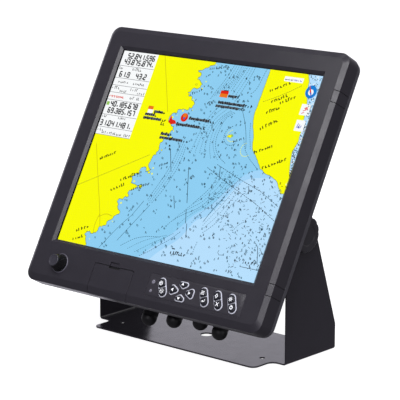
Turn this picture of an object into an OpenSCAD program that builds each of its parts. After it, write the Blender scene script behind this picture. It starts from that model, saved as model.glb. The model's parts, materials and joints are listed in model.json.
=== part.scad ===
// Marine chartplotter display: a 17-inch chart screen in a sealed head, tilted in a U bracket.
// Millimetres. Origin: centre of the four base bolts, on the underside of the bracket.
// +X is the viewer's right, +Y points away from the viewer, +Z is up.

/* [Screen] */
// Width of the picture area
screen_w = 338; // [330:1:340]
// Height of the picture area
screen_h = 270.4; // [264:0.1:272]
// How much the bezel opening spreads for each millimetre of its depth
bevel_slope = 1.25; // [1:0.05:1.3]

/* [Head] */
// Width of the bezel
bezel_w = 402.6; // [400:0.1:406]
// Height of the bezel above the screen's centre
bezel_up = 167.7; // [167:0.1:170]
// Height of the bezel below the screen's centre
bezel_down = 195.3; // [195:0.1:197]
// Corner radius of the bezel
corner_r = 14; // [10:1:16]
// Wall thickness of the bezel and covers
wall = 3; // [2.6:0.1:3.2]
// Half width of the rear housing
housing_half = 148; // [146:1:148]
// Recline of the head from upright
tilt = 28.9; // [0:0.1:40]

/* [Controls] */
// Gap between a key and the hole it moves in
key_gap = 0.25; // [0.2:0.05:0.3]
// Lean of the paired keys from upright
pair_lean = 26.7; // [20:0.1:30]
// How far a key travels when it is pressed
key_travel = 0.8; // [0.5:0.1:0.8]
// Radius of the tuning knob at its base
knob_r = 11; // [10:0.5:12]
// Height of the tuning knob's front above the bezel
knob_h = 15; // [13:0.5:16]

/* [Bracket] */
// Half of the bracket's outer width
bracket_half = 162.2; // [161.8:0.1:162.6]
// Sheet thickness of the bracket
sheet_t = 2; // [1.8:0.1:2.2]
// Depth of each arm at its foot
arm_d = 100.4; // [98:0.1:104]
// Height of the tilt axis above the underside
pivot_z = 165; // [165:1:175]
// Hole-to-hole width of the base bolts
bolt_x = 244; // [240:1:248]
// Hole-to-hole depth of the base bolts
bolt_y = 80; // [78:1:82]
// Radius of each base bolt hole
bolt_r = 3.5; // [3:0.1:4]

/* [Hidden] */
$fn = 48;
hull_fn = 32;
eps = 0.01;

// Depths in the head, from the viewer backwards: w = 0 is the picture's plane.
face_w = -4.5;
chamfer_w = -0.5;
lip_w = -1.2;
glass_back_w = 0.6;
lcd_w = 1.4;
cell_back_w = 4.6;
light_back_w = 13;
bezel_back_w = 20.5;
cover_w = 20.9;
cover_back_w = 28.5;
housing_back_w = 85;
fin_back_w = 100;
edge_half = bezel_w / 2;
chamfer_side = 6.5;
chamfer_top = 7.7;
chamfer_bottom = 9.1;

// Tilt axis: in the bracket's frame, and seen from the screen's centre.
arm_front_y = -42.6;
pivot_y = arm_front_y + 28;
pivot_w = 66.4;
pivot_v = -50.4;
eye_r = 28;
boss_end = 158;

// Card door and bay
door_u = [-85.6, -17.7];
door_top = -155.3;
door_t = 2.4;
hinge_v = -bezel_down + 2.1;
hinge_w = 1.2;
knuckle_r = 2.1;
pin_r = 1;
lug = 4;
bay_u = [-84, -19];
bay_v = [-184.5, -158];
bay_back_w = 38;

// Key panel
panel_u = [10.8, 167.7];
panel_v = [-181.2, -151.5];
panel_w = -4.3;
panel_t = 1.2;
key_top_w = -7;
rim_w = -4.7;
rim_t = 1.5;
pair_u = [37, 106, 128.5, 151];
pair_v = -166.8;
pair_len = 23;
pair_wide = 9.4;
pair_bar = 1.5;
cursor_c = [69.3, -166.5];
sensor_c = [19.6, -162.2];
sensor_r = 2.7;
led_c = [19.4, -174.1];
led_r = 2;
board_w = 2.5;

// Tuning knob
knob_c = [-144.6, -166.4];
knob_front_w = face_w - knob_h;
knob_base_w = -6.6;
collar_w = -5.7;

// Clips, screws and connectors
clip_v = [110.7, -139.5];
clip_len = 15;
cover_screw_at = [[-193.5, 140], [193.5, 140], [-193.5, -20], [193.5, -20],
    [-193.5, -180], [193.5, -180], [-70, 159], [70, 159]];
chassis_screw_at = [[-189.5, 152], [189.5, 152], [-189.5, -142], [189.5, -142]];
connector_u = [-33.1, 8.4, 51.3, 86];
connector_tip = [-198.2, -193.2, -187.9, -194.2];
connector_w = 70;
cap_r = 10.1;
housing_v = [-158, 128];
main_v = [-62, 98];
power_v = [-148, -72];
board_half = 125;

charcoal = [0.26, 0.25, 0.28];
black = [0.10, 0.10, 0.11];
steel = [0.62, 0.63, 0.65];
pcb = [0.05, 0.32, 0.18];

// ---- helpers: u runs right, w runs back, v runs up the head ----
module at_head()
    translate([0, pivot_y, pivot_z]) rotate([-tilt, 0, 0]) translate([0, -pivot_w, -pivot_v])
        children();

module slab(w0, w1)
    translate([0, w1, 0]) rotate([90, 0, 0]) linear_extrude(w1 - w0) children();

module along_u(u0, u1)
    translate([u0, 0, 0]) rotate([90, 0, 90]) linear_extrude(u1 - u0) children();

module along_v(v0, v1)
    translate([0, 0, v0]) linear_extrude(v1 - v0) children();

module rod(c, w0, w1, r)
    translate([c[0], w1, c[1]]) rotate([90, 0, 0]) cylinder(h = w1 - w0, r = r);

module rod_u(u0, u1, w, v, r)
    translate([u0, w, v]) rotate([0, 90, 0]) cylinder(h = u1 - u0, r = r);

module turned(c, w)
    translate([c[0], w, c[1]]) rotate([90, 0, 0]) rotate_extrude() children();

module block(u, v, w)
    translate([u[0], w[0], v[0]]) cube([u[1] - u[0], w[1] - w[0], v[1] - v[0]]);

module rounded(u, v, r) {
    translate([u[0] + r, v[0]]) square([u[1] - u[0] - 2 * r, v[1] - v[0]]);
    translate([u[0], v[0] + r]) square([u[1] - u[0], v[1] - v[0] - 2 * r]);
    for (x = [u[0] + r, u[1] - r], y = [v[0] + r, v[1] - r])
        translate([x, y]) circle(r);
}

module head_outline(side, top, bottom, r)
    rounded([-edge_half + side, edge_half - side], [-bezel_down + bottom, bezel_up - top], r);

module ring(half_u, half_v, t)
    difference() {
        square([2 * half_u, 2 * half_v], center = true);
        square([2 * (half_u - t), 2 * (half_v - t)], center = true);
    }

// ---- bracket side ----
module arm_profile() {
    rear_y = arm_front_y + arm_d;
    rear_z = 34;
    dy = pivot_y - rear_y;
    dz = pivot_z - rear_z;
    reach = norm([dy, dz]);
    tangent = sqrt(reach * reach - eye_r * eye_r);
    lean = atan2(dz, dy) - asin(eye_r / reach);
    polygon([[arm_front_y, bend_r], [rear_y, bend_r], [rear_y, rear_z],
        [rear_y + tangent * cos(lean), rear_z + tangent * sin(lean)],
        [pivot_y, pivot_z], [arm_front_y, pivot_z]]);
    translate([pivot_y, pivot_z]) circle(eye_r);
}

bend_r = 4;
tab_front_y = -78.1;
tab_half = 139.9;
tab_corner_r = 9;
tab_fillet_r = 10;

module base_outline() {
    flat = bracket_half - bend_r;
    translate([-flat, arm_front_y]) square([2 * flat, arm_d]);
    difference() {
        rounded([-tab_half, tab_half], [tab_front_y, 0], tab_corner_r);
        translate([-tab_half - 1, -eps]) square([2 * tab_half + 2, 2]);
    }
    for (s = [-1, 1])
        difference() {
            translate([s > 0 ? tab_half - 1 : -tab_half - tab_fillet_r, arm_front_y - tab_fillet_r])
                square([tab_fillet_r + 1, tab_fillet_r + 1]);
            translate([s * (tab_half + tab_fillet_r), arm_front_y - tab_fillet_r])
                circle(tab_fillet_r);
        }
}

module bracket() color(black) {
    cable_hole = [0, -8];
    cable_hole_r = 8;
    difference() {
        linear_extrude(sheet_t) base_outline();
        for (x = [-1, 1], y = [-1, 1])
            translate([x * bolt_x / 2, y * bolt_y / 2, -1]) cylinder(h = sheet_t + 2, r = bolt_r);
        translate([cable_hole[0], cable_hole[1], -1]) cylinder(h = sheet_t + 2, r = cable_hole_r);
    }
    for (s = [-1, 1]) {
        translate([0, arm_front_y + arm_d, 0]) rotate([90, 0, 0]) linear_extrude(arm_d)
            intersection() {
                translate([s * (bracket_half - bend_r), bend_r]) difference() {
                    circle(bend_r);
                    circle(bend_r - sheet_t);
                }
                translate([s > 0 ? bracket_half - bend_r : -bracket_half, 0])
                    square([bend_r, bend_r]);
            }
        difference() {
            translate([s > 0 ? bracket_half - sheet_t : -bracket_half, 0, 0])
                rotate([90, 0, 90]) linear_extrude(sheet_t) arm_profile();
            translate([s * bracket_half - 5, pivot_y, pivot_z]) rotate([0, 90, 0])
                cylinder(h = 10, r = 4.2);
        }
    }
}

module friction_washers() color([0.75, 0.73, 0.68])
    for (s = [-1, 1])
        translate([s > 0 ? boss_end + 0.1 : -bracket_half + sheet_t, pivot_y, pivot_z])
            rotate([0, 90, 0]) difference() {
                cylinder(h = bracket_half - sheet_t - boss_end - 0.1, r = 20);
                translate([0, 0, -1]) cylinder(h = 5, r = 4.2);
            }

clamp_r = 23;
clamp_in = bracket_half + 0.3;
clamp_out = bracket_half + 10.8;
stud_r = 4;

module clamp_knob(s) color(black)
    translate([0, pivot_y, pivot_z]) mirror([s > 0 ? 0 : 1, 0, 0]) translate([clamp_in, 0, 0])
        rotate([0, 90, 0]) difference() {
            rotate_extrude() polygon([[0, 0], [16, 0], [16, 1.5], [clamp_r - 1, 1.5],
                [clamp_r, 2.5], [clamp_r, 7.7], [clamp_r - 1.8, clamp_out - clamp_in],
                [0, clamp_out - clamp_in]]);
            for (a = [0:30:359])
                rotate([0, 0, a]) translate([clamp_r + 1.2, 0, 2]) cylinder(h = 20, r = 2.6);
            translate([0, 0, -1]) cylinder(h = 9, r = stud_r + 0.02);
        }

module clamp_stud(s) color(steel)
    translate([0, pivot_y, pivot_z]) mirror([s > 0 ? 0 : 1, 0, 0])
        translate([149, 0, 0]) rotate([0, 90, 0]) {
            translate([0, 0, 0.8]) cylinder(h = clamp_in + 7.8 - 149 - 0.8, r = stud_r);
            cylinder(h = 0.8, r1 = stud_r - 0.8, r2 = stud_r);
        }

// ---- head shell ----
module bezel_outer()
    hull() {
        slab(face_w, face_w + 0.1)
            head_outline(chamfer_side, chamfer_top, chamfer_bottom, corner_r - 4.5, $fn = hull_fn);
        slab(chamfer_w, bezel_back_w) head_outline(0, 0, 0, corner_r, $fn = hull_fn);
    }

module clip_zone(s, v, grow)
    difference() {
        block([s > 0 ? edge_half - chamfer_side : -edge_half - 1,
               s > 0 ? edge_half + 1 : -edge_half + chamfer_side],
            [v - clip_len / 2 - grow, v + clip_len / 2 + grow], [face_w - 1, bezel_back_w + 1]);
        block([s > 0 ? 0 : -edge_half + 2 + grow, s > 0 ? edge_half - 2 - grow : 0],
            [v - clip_len, v + clip_len], [lip_w - 0.1 + grow, bezel_back_w + 2]);
    }

module screen_cut() {
    out = face_w - 1;
    in = lip_w + 1;
    hu = screen_w / 2 + 0.6;
    hv = screen_h / 2 + 0.6;
    du = function(w) (lip_w - w) * bevel_slope;
    intersection() {
        along_v(-160, 160) polygon([[-hu - du(out), out], [hu + du(out), out],
            [hu + du(in), in], [-hu - du(in), in]]);
        along_u(-190, 190) polygon([[out, -hv - du(out)], [out, hv + du(out)],
            [in, hv + du(in)], [in, -hv - du(in)]]);
    }
}

module door_cuts() {
    gap = 0.25;
    scoop_u = [-60.4, -44.8];
    block([door_u[0] - gap, door_u[1] + gap], [-bezel_down - 5, door_top + gap],
        [face_w - 1, chamfer_w + eps]);
    block([door_u[0] - gap, door_u[1] + gap], [-bezel_down - 5, -190.5], [chamfer_w - 1, 4.4]);
    block(scoop_u, [door_top - 1, -149.6], [face_w - 1, face_w + 1.1]);
}

module front_bezel() color(charcoal) at_head()
    difference() {
        union() {
            difference() {
                bezel_outer();
                slab(lip_w, bezel_back_w + 1) head_outline(wall, wall, wall, corner_r - wall);
            }
            for (p = cover_screw_at) rod(p, lip_w - eps, bezel_back_w, 4.2);
            for (p = chassis_screw_at) rod(p, lip_w - eps, light_back_w + 0.2, 4);
            for (u = [door_u[0] - lug - 0.3, door_u[1] + 0.3])
                block([u, u + lug], [-bezel_down, -190.6], [-0.4, 3.4]);
        }
        screen_cut();
        door_cuts();
        rod_u(door_u[0] - lug - 0.3, door_u[1] + lug + 0.3, hinge_w, hinge_v, pin_r + 0.02);
        rod(knob_c, face_w - 1, lip_w + 1, 4.6);
        slab(face_w - 1, panel_w + panel_t) rounded(panel_u, panel_v, 2);
        key_holes(key_gap);
        rod(sensor_c, face_w - 1, lip_w + 1, sensor_r + 0.05);
        rod(led_c, face_w - 1, lip_w + 1, led_r + 0.05);
        for (s = [-1, 1], v = clip_v) clip_zone(s, v, 0.2);
        for (p = cover_screw_at) rod(p, 2, bezel_back_w + 1, 2);
        for (p = chassis_screw_at) rod(p, 6, bezel_back_w + 2, 1.5);
    }

module side_clips() color(charcoal) at_head()
    for (s = [-1, 1], v = clip_v)
        intersection() {
            bezel_outer();
            clip_zone(s, v, 0);
        }

module cover_glass() color([0.75, 0.82, 0.86, 0.35]) at_head()
    slab(lip_w, glass_back_w) rounded([-176, 176], [-142, 142], 3);

module glass_gasket() color(black) at_head()
    slab(glass_back_w, lcd_w) ring(176, 142, 5.5);

module lcd_panel() color([0.55, 0.8, 0.95]) at_head()
    block([-179.2, 179.2], [-148.2, 148.2], [lcd_w, cell_back_w]);

module backlight_unit() color(steel) at_head()
    block([-179.2, 179.2], [-148.2, 148.2], [cell_back_w, light_back_w]);

module chassis_plate() color(steel) at_head() {
    back = light_back_w + 0.2;
    difference() {
        union() {
            block([-186.5, 186.5], [-150, 154.3], [back, back + 1.6]);
            for (p = chassis_screw_at)
                block([p[0] - 5, p[0] + 5], [p[1] - 5, p[1] + 5], [back, back + 1.6]);
        }
        for (p = chassis_screw_at) rod(p, back - 1, back + 3, 1.7);
        for (u = [-1, 1]) block([u * 152 - 8, u * 152 + 8], [-100, 100], [back - 1, back + 3]);
        block([-110, 110], [110, 140], [back - 1, back + 3]);
    }
}

module rear_cover() color([0.22, 0.21, 0.24]) at_head()
    difference() {
        hull() {
            slab(cover_w, cover_w + 0.1) head_outline(0.3, 0.3, 0.3, corner_r, $fn = hull_fn);
            slab(cover_back_w - 0.1, cover_back_w)
                head_outline(1.6, 1.6, 1.6, corner_r, $fn = hull_fn);
        }
        slab(cover_w - 1, cover_back_w - 2.5)
            head_outline(wall + 1, wall + 1, wall + 1, corner_r - wall);
        block([-housing_half + wall, housing_half - wall],
            [housing_v[0] + wall, housing_v[1] - wall], [cover_w, cover_back_w + 1]);
        block([-89.5, -13.5], [bay_v[0] - 0.3, -150], [cover_w, cover_back_w + 1]);
        for (p = cover_screw_at) rod(p, cover_w - 1, cover_back_w + 1, 2.2);
        for (p = housing_screw_at) rod(p, cover_w, cover_back_w + 1, 1.6);
    }

module housing_seal() color([0.06, 0.06, 0.06]) at_head()
    slab(bezel_back_w, cover_w) difference() {
        head_outline(0.9, 0.9, 0.9, corner_r - 0.9);
        head_outline(wall - 0.4, wall - 0.4, wall - 0.4, corner_r - wall);
    }

flange = 7;
housing_screw_at = concat([for (u = [-130, -45, 45, 130]) [u, housing_v[1] + 3.5]],
    [for (s = [-1, 1], v = [-110, 0, 90]) [s * (housing_half + 3.5), v]],
    [for (u = [30, 130]) [u, housing_v[0] - 3.5]], [[-130, housing_v[0] - 3.5]]);

module housing_block(inset, back)
    intersection() {
        hu = housing_half - inset;
        lo = housing_v[0] + inset;
        hi = housing_v[1] - inset;
        slab(cover_back_w - eps, back) rounded([-hu, hu], [lo, hi], 12 - inset);
        along_v(lo - 1, hi + 1) polygon([[-hu, 0], [hu, 0], [hu, back - 11],
            [hu - 12, back], [-hu + 12, back], [-hu, back - 11]]);
        along_u(-hu - 1, hu + 1) polygon([[0, lo], [0, hi], [back - 24, hi],
            [back, hi - 24], [back, lo + 8], [back - 8, lo]]);
    }

module rear_housing() color([0.20, 0.20, 0.22]) at_head() {
    bump_u = [-92, -11];
    bump_v = [bay_v[0] - 2.8, housing_v[0] + 4];
    difference() {
        union() {
            intersection() {
                housing_block(0, housing_back_w);
                block([-200, 200], [-200, 200], [cover_back_w, 200]);
            }
            slab(cover_back_w, cover_back_w + wall)
                rounded([-housing_half - flange, housing_half + flange],
                    [housing_v[0] - flange, housing_v[1] + flange], 12);
            block(bump_u, bump_v, [cover_back_w, bay_back_w + 3]);
            for (s = [-1, 1])
                rod_u(s > 0 ? housing_half - wall : -boss_end, s > 0 ? boss_end : wall - housing_half,
                    pivot_w, pivot_v, 17);
        }
        housing_block(wall, housing_back_w - wall);
        block([bump_u[0] + 2.5, bump_u[1] - 2.5], [bump_v[0] + 2.5, -150],
            [cover_back_w - 1, bay_back_w + 0.5]);
        rod_u(-170, 170, pivot_w, pivot_v, 7.02);
        for (u = connector_u)
            translate([u, connector_w, housing_v[0] - 1]) cylinder(h = wall + 14, r = 8.52);
        for (p = housing_screw_at) rod(p, cover_back_w - 1, cover_back_w + wall + 1, 2.2);
    }
}

module heat_sink() color([0.18, 0.18, 0.19]) at_head() {
    sink_u = [-105, 105];
    sink_v = [-118, 80];
    block(sink_u, sink_v, [housing_back_w, housing_back_w + 3.5]);
    for (i = [0:15])
        block([sink_u[0] + i * 13.8, sink_u[0] + i * 13.8 + 3], sink_v,
            [housing_back_w + 3.5, fin_back_w]);
}

module pan_screw(p, head_w, len, r) {
    rod(p, head_w - len, head_w, r);
    rod(p, head_w, head_w + 1.6, 2 * r);
}

module cover_screws() color(steel) at_head()
    for (p = cover_screw_at) pan_screw(p, cover_back_w, 16, 1.9);

module housing_screws() color(steel) at_head()
    for (p = housing_screw_at) pan_screw(p, cover_back_w + wall, 5, 1.55);

module pivot_inserts() color([0.75, 0.62, 0.30]) at_head()
    for (s = [-1, 1])
        difference() {
            rod_u(s > 0 ? boss_end - 12 : -boss_end, s > 0 ? boss_end : 12 - boss_end,
                pivot_w, pivot_v, 7);
            rod_u(-170, 170, pivot_w, pivot_v, stud_r + 0.05);
        }

// ---- electronics ----
main_w = 34;
board_t = 1.6;
main_post_at = [for (u = [-1, 1], v = [main_v[0] + 6, main_v[1] - 6]) [u * (board_half - 6), v]];
power_post_at = [for (u = [-1, 1], v = [power_v[0] + 6, power_v[1] - 6]) [u * (board_half - 6), v]];

module board(v, posts)
    difference() {
        block([-board_half, board_half], v, [main_w, main_w + board_t]);
        for (p = posts) rod(p, main_w - 1, main_w + 3, 1.7);
    }

module main_board() color(pcb) at_head() board(main_v, main_post_at);

module main_board_chips() color([0.08, 0.08, 0.09]) at_head() {
    top = main_w + board_t;
    block([-38, -2], [4, 40], [top, top + 3]);
    for (i = [0:3]) block([14 + i * 15, 26 + i * 15], [12, 32], [top, top + 1.4]);
    for (i = [0:2]) block([-104 + i * 24, -88 + i * 24], [60, 76], [top, top + 2]);
    block([-100, -70], [-40, -20], [top, top + 6]);
    block([40, 100], [-52, -44], [top, top + 8]);
    rod([96, 74], top, top + 7, 7);
}

module thermal_block() color([0.75, 0.76, 0.78]) at_head()
    block([-42, 2], [0, 44], [main_w + board_t + 3, housing_back_w - wall]);

module power_board() color(pcb) at_head() board(power_v, power_post_at);

module power_components() color([0.15, 0.15, 0.2]) at_head() {
    top = main_w + board_t;
    for (i = [0:4]) rod([-100 + i * 18, -90], top, top + 18, 6.5);
    for (i = [0:1]) rod([20 + i * 26, -94], top, top + 11, 10);
    block([72, 104], [-108, -82], [top, top + 20]);
    block([-104, -64], [-136, -112], [top, top + 14]);
    for (i = [0:3]) block([-20 + i * 22, -10 + i * 22], [-128, -124], [top, top + 12]);
}

module board_standoffs() color(steel) at_head() {
    foot = light_back_w + 0.2 + board_t;
    for (p = concat(main_post_at, power_post_at))
        difference() {
            rod(p, foot, main_w, 3);
            rod(p, main_w - 8, main_w + 1, 1.6);
        }
}

module internal_screws() color(steel) at_head() {
    for (p = concat(main_post_at, power_post_at)) pan_screw(p, main_w + board_t, 7, 1.5);
    for (p = chassis_screw_at) pan_screw(p, light_back_w + 0.2 + board_t, 6, 1.4);
}

// ---- keys ----
module pill(len, wide) {
    square([wide, len - wide], center = true);
    for (s = [-1, 1]) translate([0, s * (len - wide) / 2]) circle(wide / 2);
}

module pair_shape(i, side, grow)
    translate([pair_u[i], pair_v]) rotate(pair_lean) intersection() {
        pill(pair_len + 2 * grow, pair_wide + 2 * grow);
        translate([-pair_wide, side > 0 ? pair_bar / 2 - grow : -pair_len])
            square([2 * pair_wide, pair_len - pair_bar / 2 + grow]);
    }

function cursor_place(a) = (a % 180 == 0) ? 13 : 8.2;

module cursor_shape(a, grow) {
    flat = (a % 180 == 0);
    tip_x = flat ? -3.2 : -1.4;
    tip_r = flat ? 2.2 : 1.8;
    base = flat ? [2.8, 2.9] : [1.3, 4];
    base_r = flat ? 2.4 : 2;
    translate(cursor_c) rotate(a) translate([cursor_place(a), 0]) hull() {
        translate([tip_x, 0]) circle(tip_r + grow, $fn = hull_fn);
        for (s = [-1, 1]) translate([base[0], s * base[1]]) circle(base_r + grow, $fn = hull_fn);
    }
}

module key_holes(grow)
    slab(face_w - 1, lip_w + 0.5) {
        for (i = [0:3], side = [-1, 1]) pair_shape(i, side, grow);
        for (a = [0:90:270]) cursor_shape(a, grow);
    }

key_flange = 0.5;
flange_t = 0.7;

module key_stem(c) rod(c, lip_w + flange_t, lip_w + flange_t + 0.6, 1.5);

module pair_key(i, side) color([0.20, 0.20, 0.22]) at_head() {
    mid = (pair_len / 2 + pair_bar / 2) / 2;
    slab(key_top_w + 0.6, lip_w + 0.1) pair_shape(i, side, 0);
    slab(key_top_w, key_top_w + 0.6) pair_shape(i, side, -0.5);
    slab(lip_w + 0.1, lip_w + 0.1 + flange_t) pair_shape(i, side, key_flange);
    key_stem([pair_u[i] - side * mid * sin(pair_lean), pair_v + side * mid * cos(pair_lean)]);
}

module cursor_key(a) color([0.20, 0.20, 0.22]) at_head() {
    reach = cursor_place(a);
    slab(key_top_w + 0.6, lip_w + 0.1) cursor_shape(a, 0);
    slab(key_top_w, key_top_w + 0.6) cursor_shape(a, -0.5);
    slab(lip_w + 0.1, lip_w + 0.1 + flange_t) cursor_shape(a, key_flange);
    key_stem([cursor_c[0] + reach * cos(a), cursor_c[1] + reach * sin(a)]);
}

key_at = concat(
    [for (i = [0:3], s = [-1, 1]) [pair_u[i] - s * 6.1 * sin(pair_lean),
        pair_v + s * 6.1 * cos(pair_lean)]],
    [for (a = [0:90:270]) cursor_c + cursor_place(a) * [cos(a), sin(a)]]);

module key_panel() color([0.33, 0.32, 0.36]) at_head()
    difference() {
        slab(panel_w, panel_w + panel_t) rounded(panel_u + [0.1, -0.1], panel_v + [0.1, -0.1], 2);
        key_holes(key_gap);
        rod(sensor_c, panel_w - 1, lip_w, sensor_r + 0.05);
        rod(led_c, panel_w - 1, lip_w, led_r + 0.05);
    }

module key_rims() color([0.85, 0.85, 0.9]) at_head()
    difference() {
        slab(rim_w, panel_w) {
            for (u = pair_u)
                translate([u, pair_v]) rotate(pair_lean)
                    pill(pair_len + 2 * rim_t, pair_wide + 2 * rim_t);
            for (a = [0:90:270]) cursor_shape(a, rim_t);
        }
        key_holes(key_gap);
    }

module keypad_board() color(pcb) at_head()
    block([8, 172], [-187, -153.5], [board_w, board_w + board_t]);

module keypad_membrane() color([0.7, 0.7, 0.7]) at_head()
    difference() {
        block([10, 170], [-185, -154.5], [board_w - 0.8, board_w - 0.1]);
        for (p = key_at) rod(p, 0, board_w, 3.4);
        rod(sensor_c, 0, board_w, 3.4);
        rod(led_c, 0, board_w, 3.4);
    }

module key_domes() color([0.8, 0.78, 0.7]) at_head()
    for (p = key_at) rod(p, board_w - 1.3, board_w, 3);

module status_led() color([0.9, 0.9, 0.92]) at_head()
    rod(led_c, panel_w - 0.1, board_w, led_r);

module light_sensor() color([0.75, 0.75, 0.8]) at_head()
    rod(sensor_c, panel_w - 0.1, board_w, sensor_r);

// ---- tuning knob ----
module knob_collar() color([0.35, 0.34, 0.38]) at_head()
    turned(knob_c, face_w) polygon([[7.5, 0], [13, 0], [13, 0.6], [12.4, 1.2], [7.5, 1.2]]);

module encoder_body() color([0.25, 0.4, 0.3]) at_head()
    difference() {
        union() {
            block([knob_c[0] - 7, knob_c[0] + 7], [knob_c[1] - 7, knob_c[1] + 7], [lip_w + 0.1, 9]);
            rod(knob_c, -8, 0, 4.5);
        }
        rod(knob_c, -9, 2, 3.5);
        rod(knob_c, 0.9, 7.6, 5);
    }

module encoder_nut() color(steel) at_head()
    difference() {
        rod(knob_c, -6.9, face_w, 6.8, $fn = 6);
        rod(knob_c, -8, face_w + 1, 4.52);
    }

module encoder_plunger() color([0.8, 0.8, 0.8]) at_head()
    difference() {
        union() {
            rod(knob_c, -7.6, 1.5, 3.45);
            rod(knob_c, 1.2, 2.2, 4.2);
        }
        rod(knob_c, -9, 4, 3.05);
    }

module knob_shaft() color(steel) at_head() {
    rod(knob_c, -16, 2.6, 3);
    rod(knob_c, 2.5, 3.4, 3.9);
}

module knob_cone(drop) {
    tall = knob_base_w - knob_front_w;
    turned(knob_c, knob_base_w) polygon([[0, 0], [knob_r - drop, 0], [8.4 - drop, tall - 0.8],
        [7.6 - drop, tall], [0, tall]]);
}

module tuning_knob() color(black) at_head()
    difference() {
        union() {
            knob_cone(0.6);
            intersection() {
                knob_cone(0);
                for (i = [0:11])
                    translate([knob_c[0], 0, knob_c[1]]) rotate([0, 15 * i, 0])
                        translate([-12, knob_front_w + 0.7, -0.75])
                            cube([24, knob_base_w - knob_front_w - 0.7, 1.5]);
            }
        }
        rod(knob_c, -9.5, knob_base_w + 1, 8);
        rod(knob_c, -16, -9, 3.02);
    }

// ---- card door ----
module card_door() color(charcoal) at_head()
    difference() {
        union() {
            intersection() {
                bezel_outer();
                along_u(door_u[0], door_u[1]) polygon([[face_w - 1, door_top],
                    [face_w + door_t, door_top], [face_w + door_t, -186.5], [hinge_w, -191],
                    [hinge_w, hinge_v - knuckle_r], [face_w - 1, hinge_v - knuckle_r]]);
            }
            rod_u(door_u[0], door_u[1], hinge_w, hinge_v, knuckle_r);
        }
        block([-61.5, -42], [door_top - 1.6, door_top + 1], [face_w - 1, face_w + 1.6]);
        rod_u(door_u[0] - 1, door_u[1] + 1, hinge_w, hinge_v, pin_r + 0.05);
    }

module door_hinge_pin() color(steel) at_head()
    rod_u(door_u[0] - lug - 0.2, door_u[1] + lug + 0.2, hinge_w, hinge_v, pin_r);

module door_seal() color([0.08, 0.08, 0.08]) at_head()
    slab(lip_w - 0.7, lip_w + 0.1) difference() {
        rounded([-84.3, -19], [-186.4, -156.6], 2);
        rounded([-82.4, -20.9], [-184.7, -158.4], 1);
    }

module card_bay() color([0.15, 0.15, 0.16]) at_head()
    difference() {
        union() {
            block([-91, -12], [-187.3, -150.5], [lip_w + 0.1, lip_w + 1.6]);
            block(bay_u, bay_v, [lip_w + 0.1, bay_back_w]);
        }
        block(bay_u + [1.6, -1.6], bay_v + [1.6, -1.6], [lip_w - 1, bay_back_w - 1.5]);
    }

module card_readers() color(steel) at_head()
    for (u = [-80, -50])
        difference() {
            block([u, u + 27], [-181.5, -161], [14, bay_back_w - 1.5]);
            for (v = [-178.5, -168.5]) block([u + 1.2, u + 25.8], [v, v + 3], [13, 35]);
        }

// ---- connectors under the housing ----
module rear_connectors() color(black) at_head()
    for (i = [0:3])
        translate([connector_u[i], connector_w, 0]) {
            translate([0, 0, housing_v[0] - 2.5]) cylinder(h = 2.5, r = 12);
            translate([0, 0, housing_v[0] - 0.1]) cylinder(h = 14, r = 8.5);
            translate([0, 0, connector_tip[i] + 3])
                cylinder(h = housing_v[0] - 2.4 - connector_tip[i] - 3, r = 8.5);
        }

module connector_caps() color([0.12, 0.12, 0.13]) at_head()
    for (i = [0:3])
        translate([connector_u[i], connector_w, connector_tip[i]]) difference() {
            union() {
                sphere(cap_r);
                cylinder(h = housing_v[0] - 4 - connector_tip[i], r = cap_r);
            }
            translate([0, 0, 2.5]) cylinder(h = 60, r = 8.52);
        }

bracket();
friction_washers();
clamp_knob(-1);  // left_clamp_knob
clamp_stud(-1);  // left_clamp_stud
clamp_knob(1);  // right_clamp_knob
clamp_stud(1);  // right_clamp_stud
front_bezel();
side_clips();
cover_glass();
glass_gasket();
lcd_panel();
backlight_unit();
chassis_plate();
rear_cover();
housing_seal();
rear_housing();
heat_sink();
cover_screws();
housing_screws();
pivot_inserts();
main_board();
main_board_chips();
thermal_block();
power_board();
power_components();
board_standoffs();
internal_screws();
keypad_board();
keypad_membrane();
key_domes();
key_panel();
key_rims();
status_led();
light_sensor();
encoder_body();
encoder_nut();
encoder_plunger();
knob_collar();
tuning_knob();
knob_shaft();
card_door();
door_hinge_pin();
door_seal();
card_bay();
card_readers();
rear_connectors();
connector_caps();
pair_key(0, 1);  // zoom_in_key
pair_key(0, -1);  // zoom_out_key
cursor_key(90);  // cursor_up_key
cursor_key(270);  // cursor_down_key
cursor_key(180);  // cursor_left_key
cursor_key(0);  // cursor_right_key
pair_key(1, 1);  // menu_key
pair_key(1, -1);  // enter_key
pair_key(2, 1);  // mark_key
pair_key(2, -1);  // clear_key
pair_key(3, 1);  // bright_key
pair_key(3, -1);  // power_key
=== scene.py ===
"""Looks for the chartplotter display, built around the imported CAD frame. Lengths are millimetres in the head's
own frame (u right, w back, v up, from the screen's centre) until a piece is placed in metres."""

import json
import math
import random

import bmesh
import bpy
from mathutils import Matrix, Vector
from mathutils.geometry import tessellate_polygon


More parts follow.
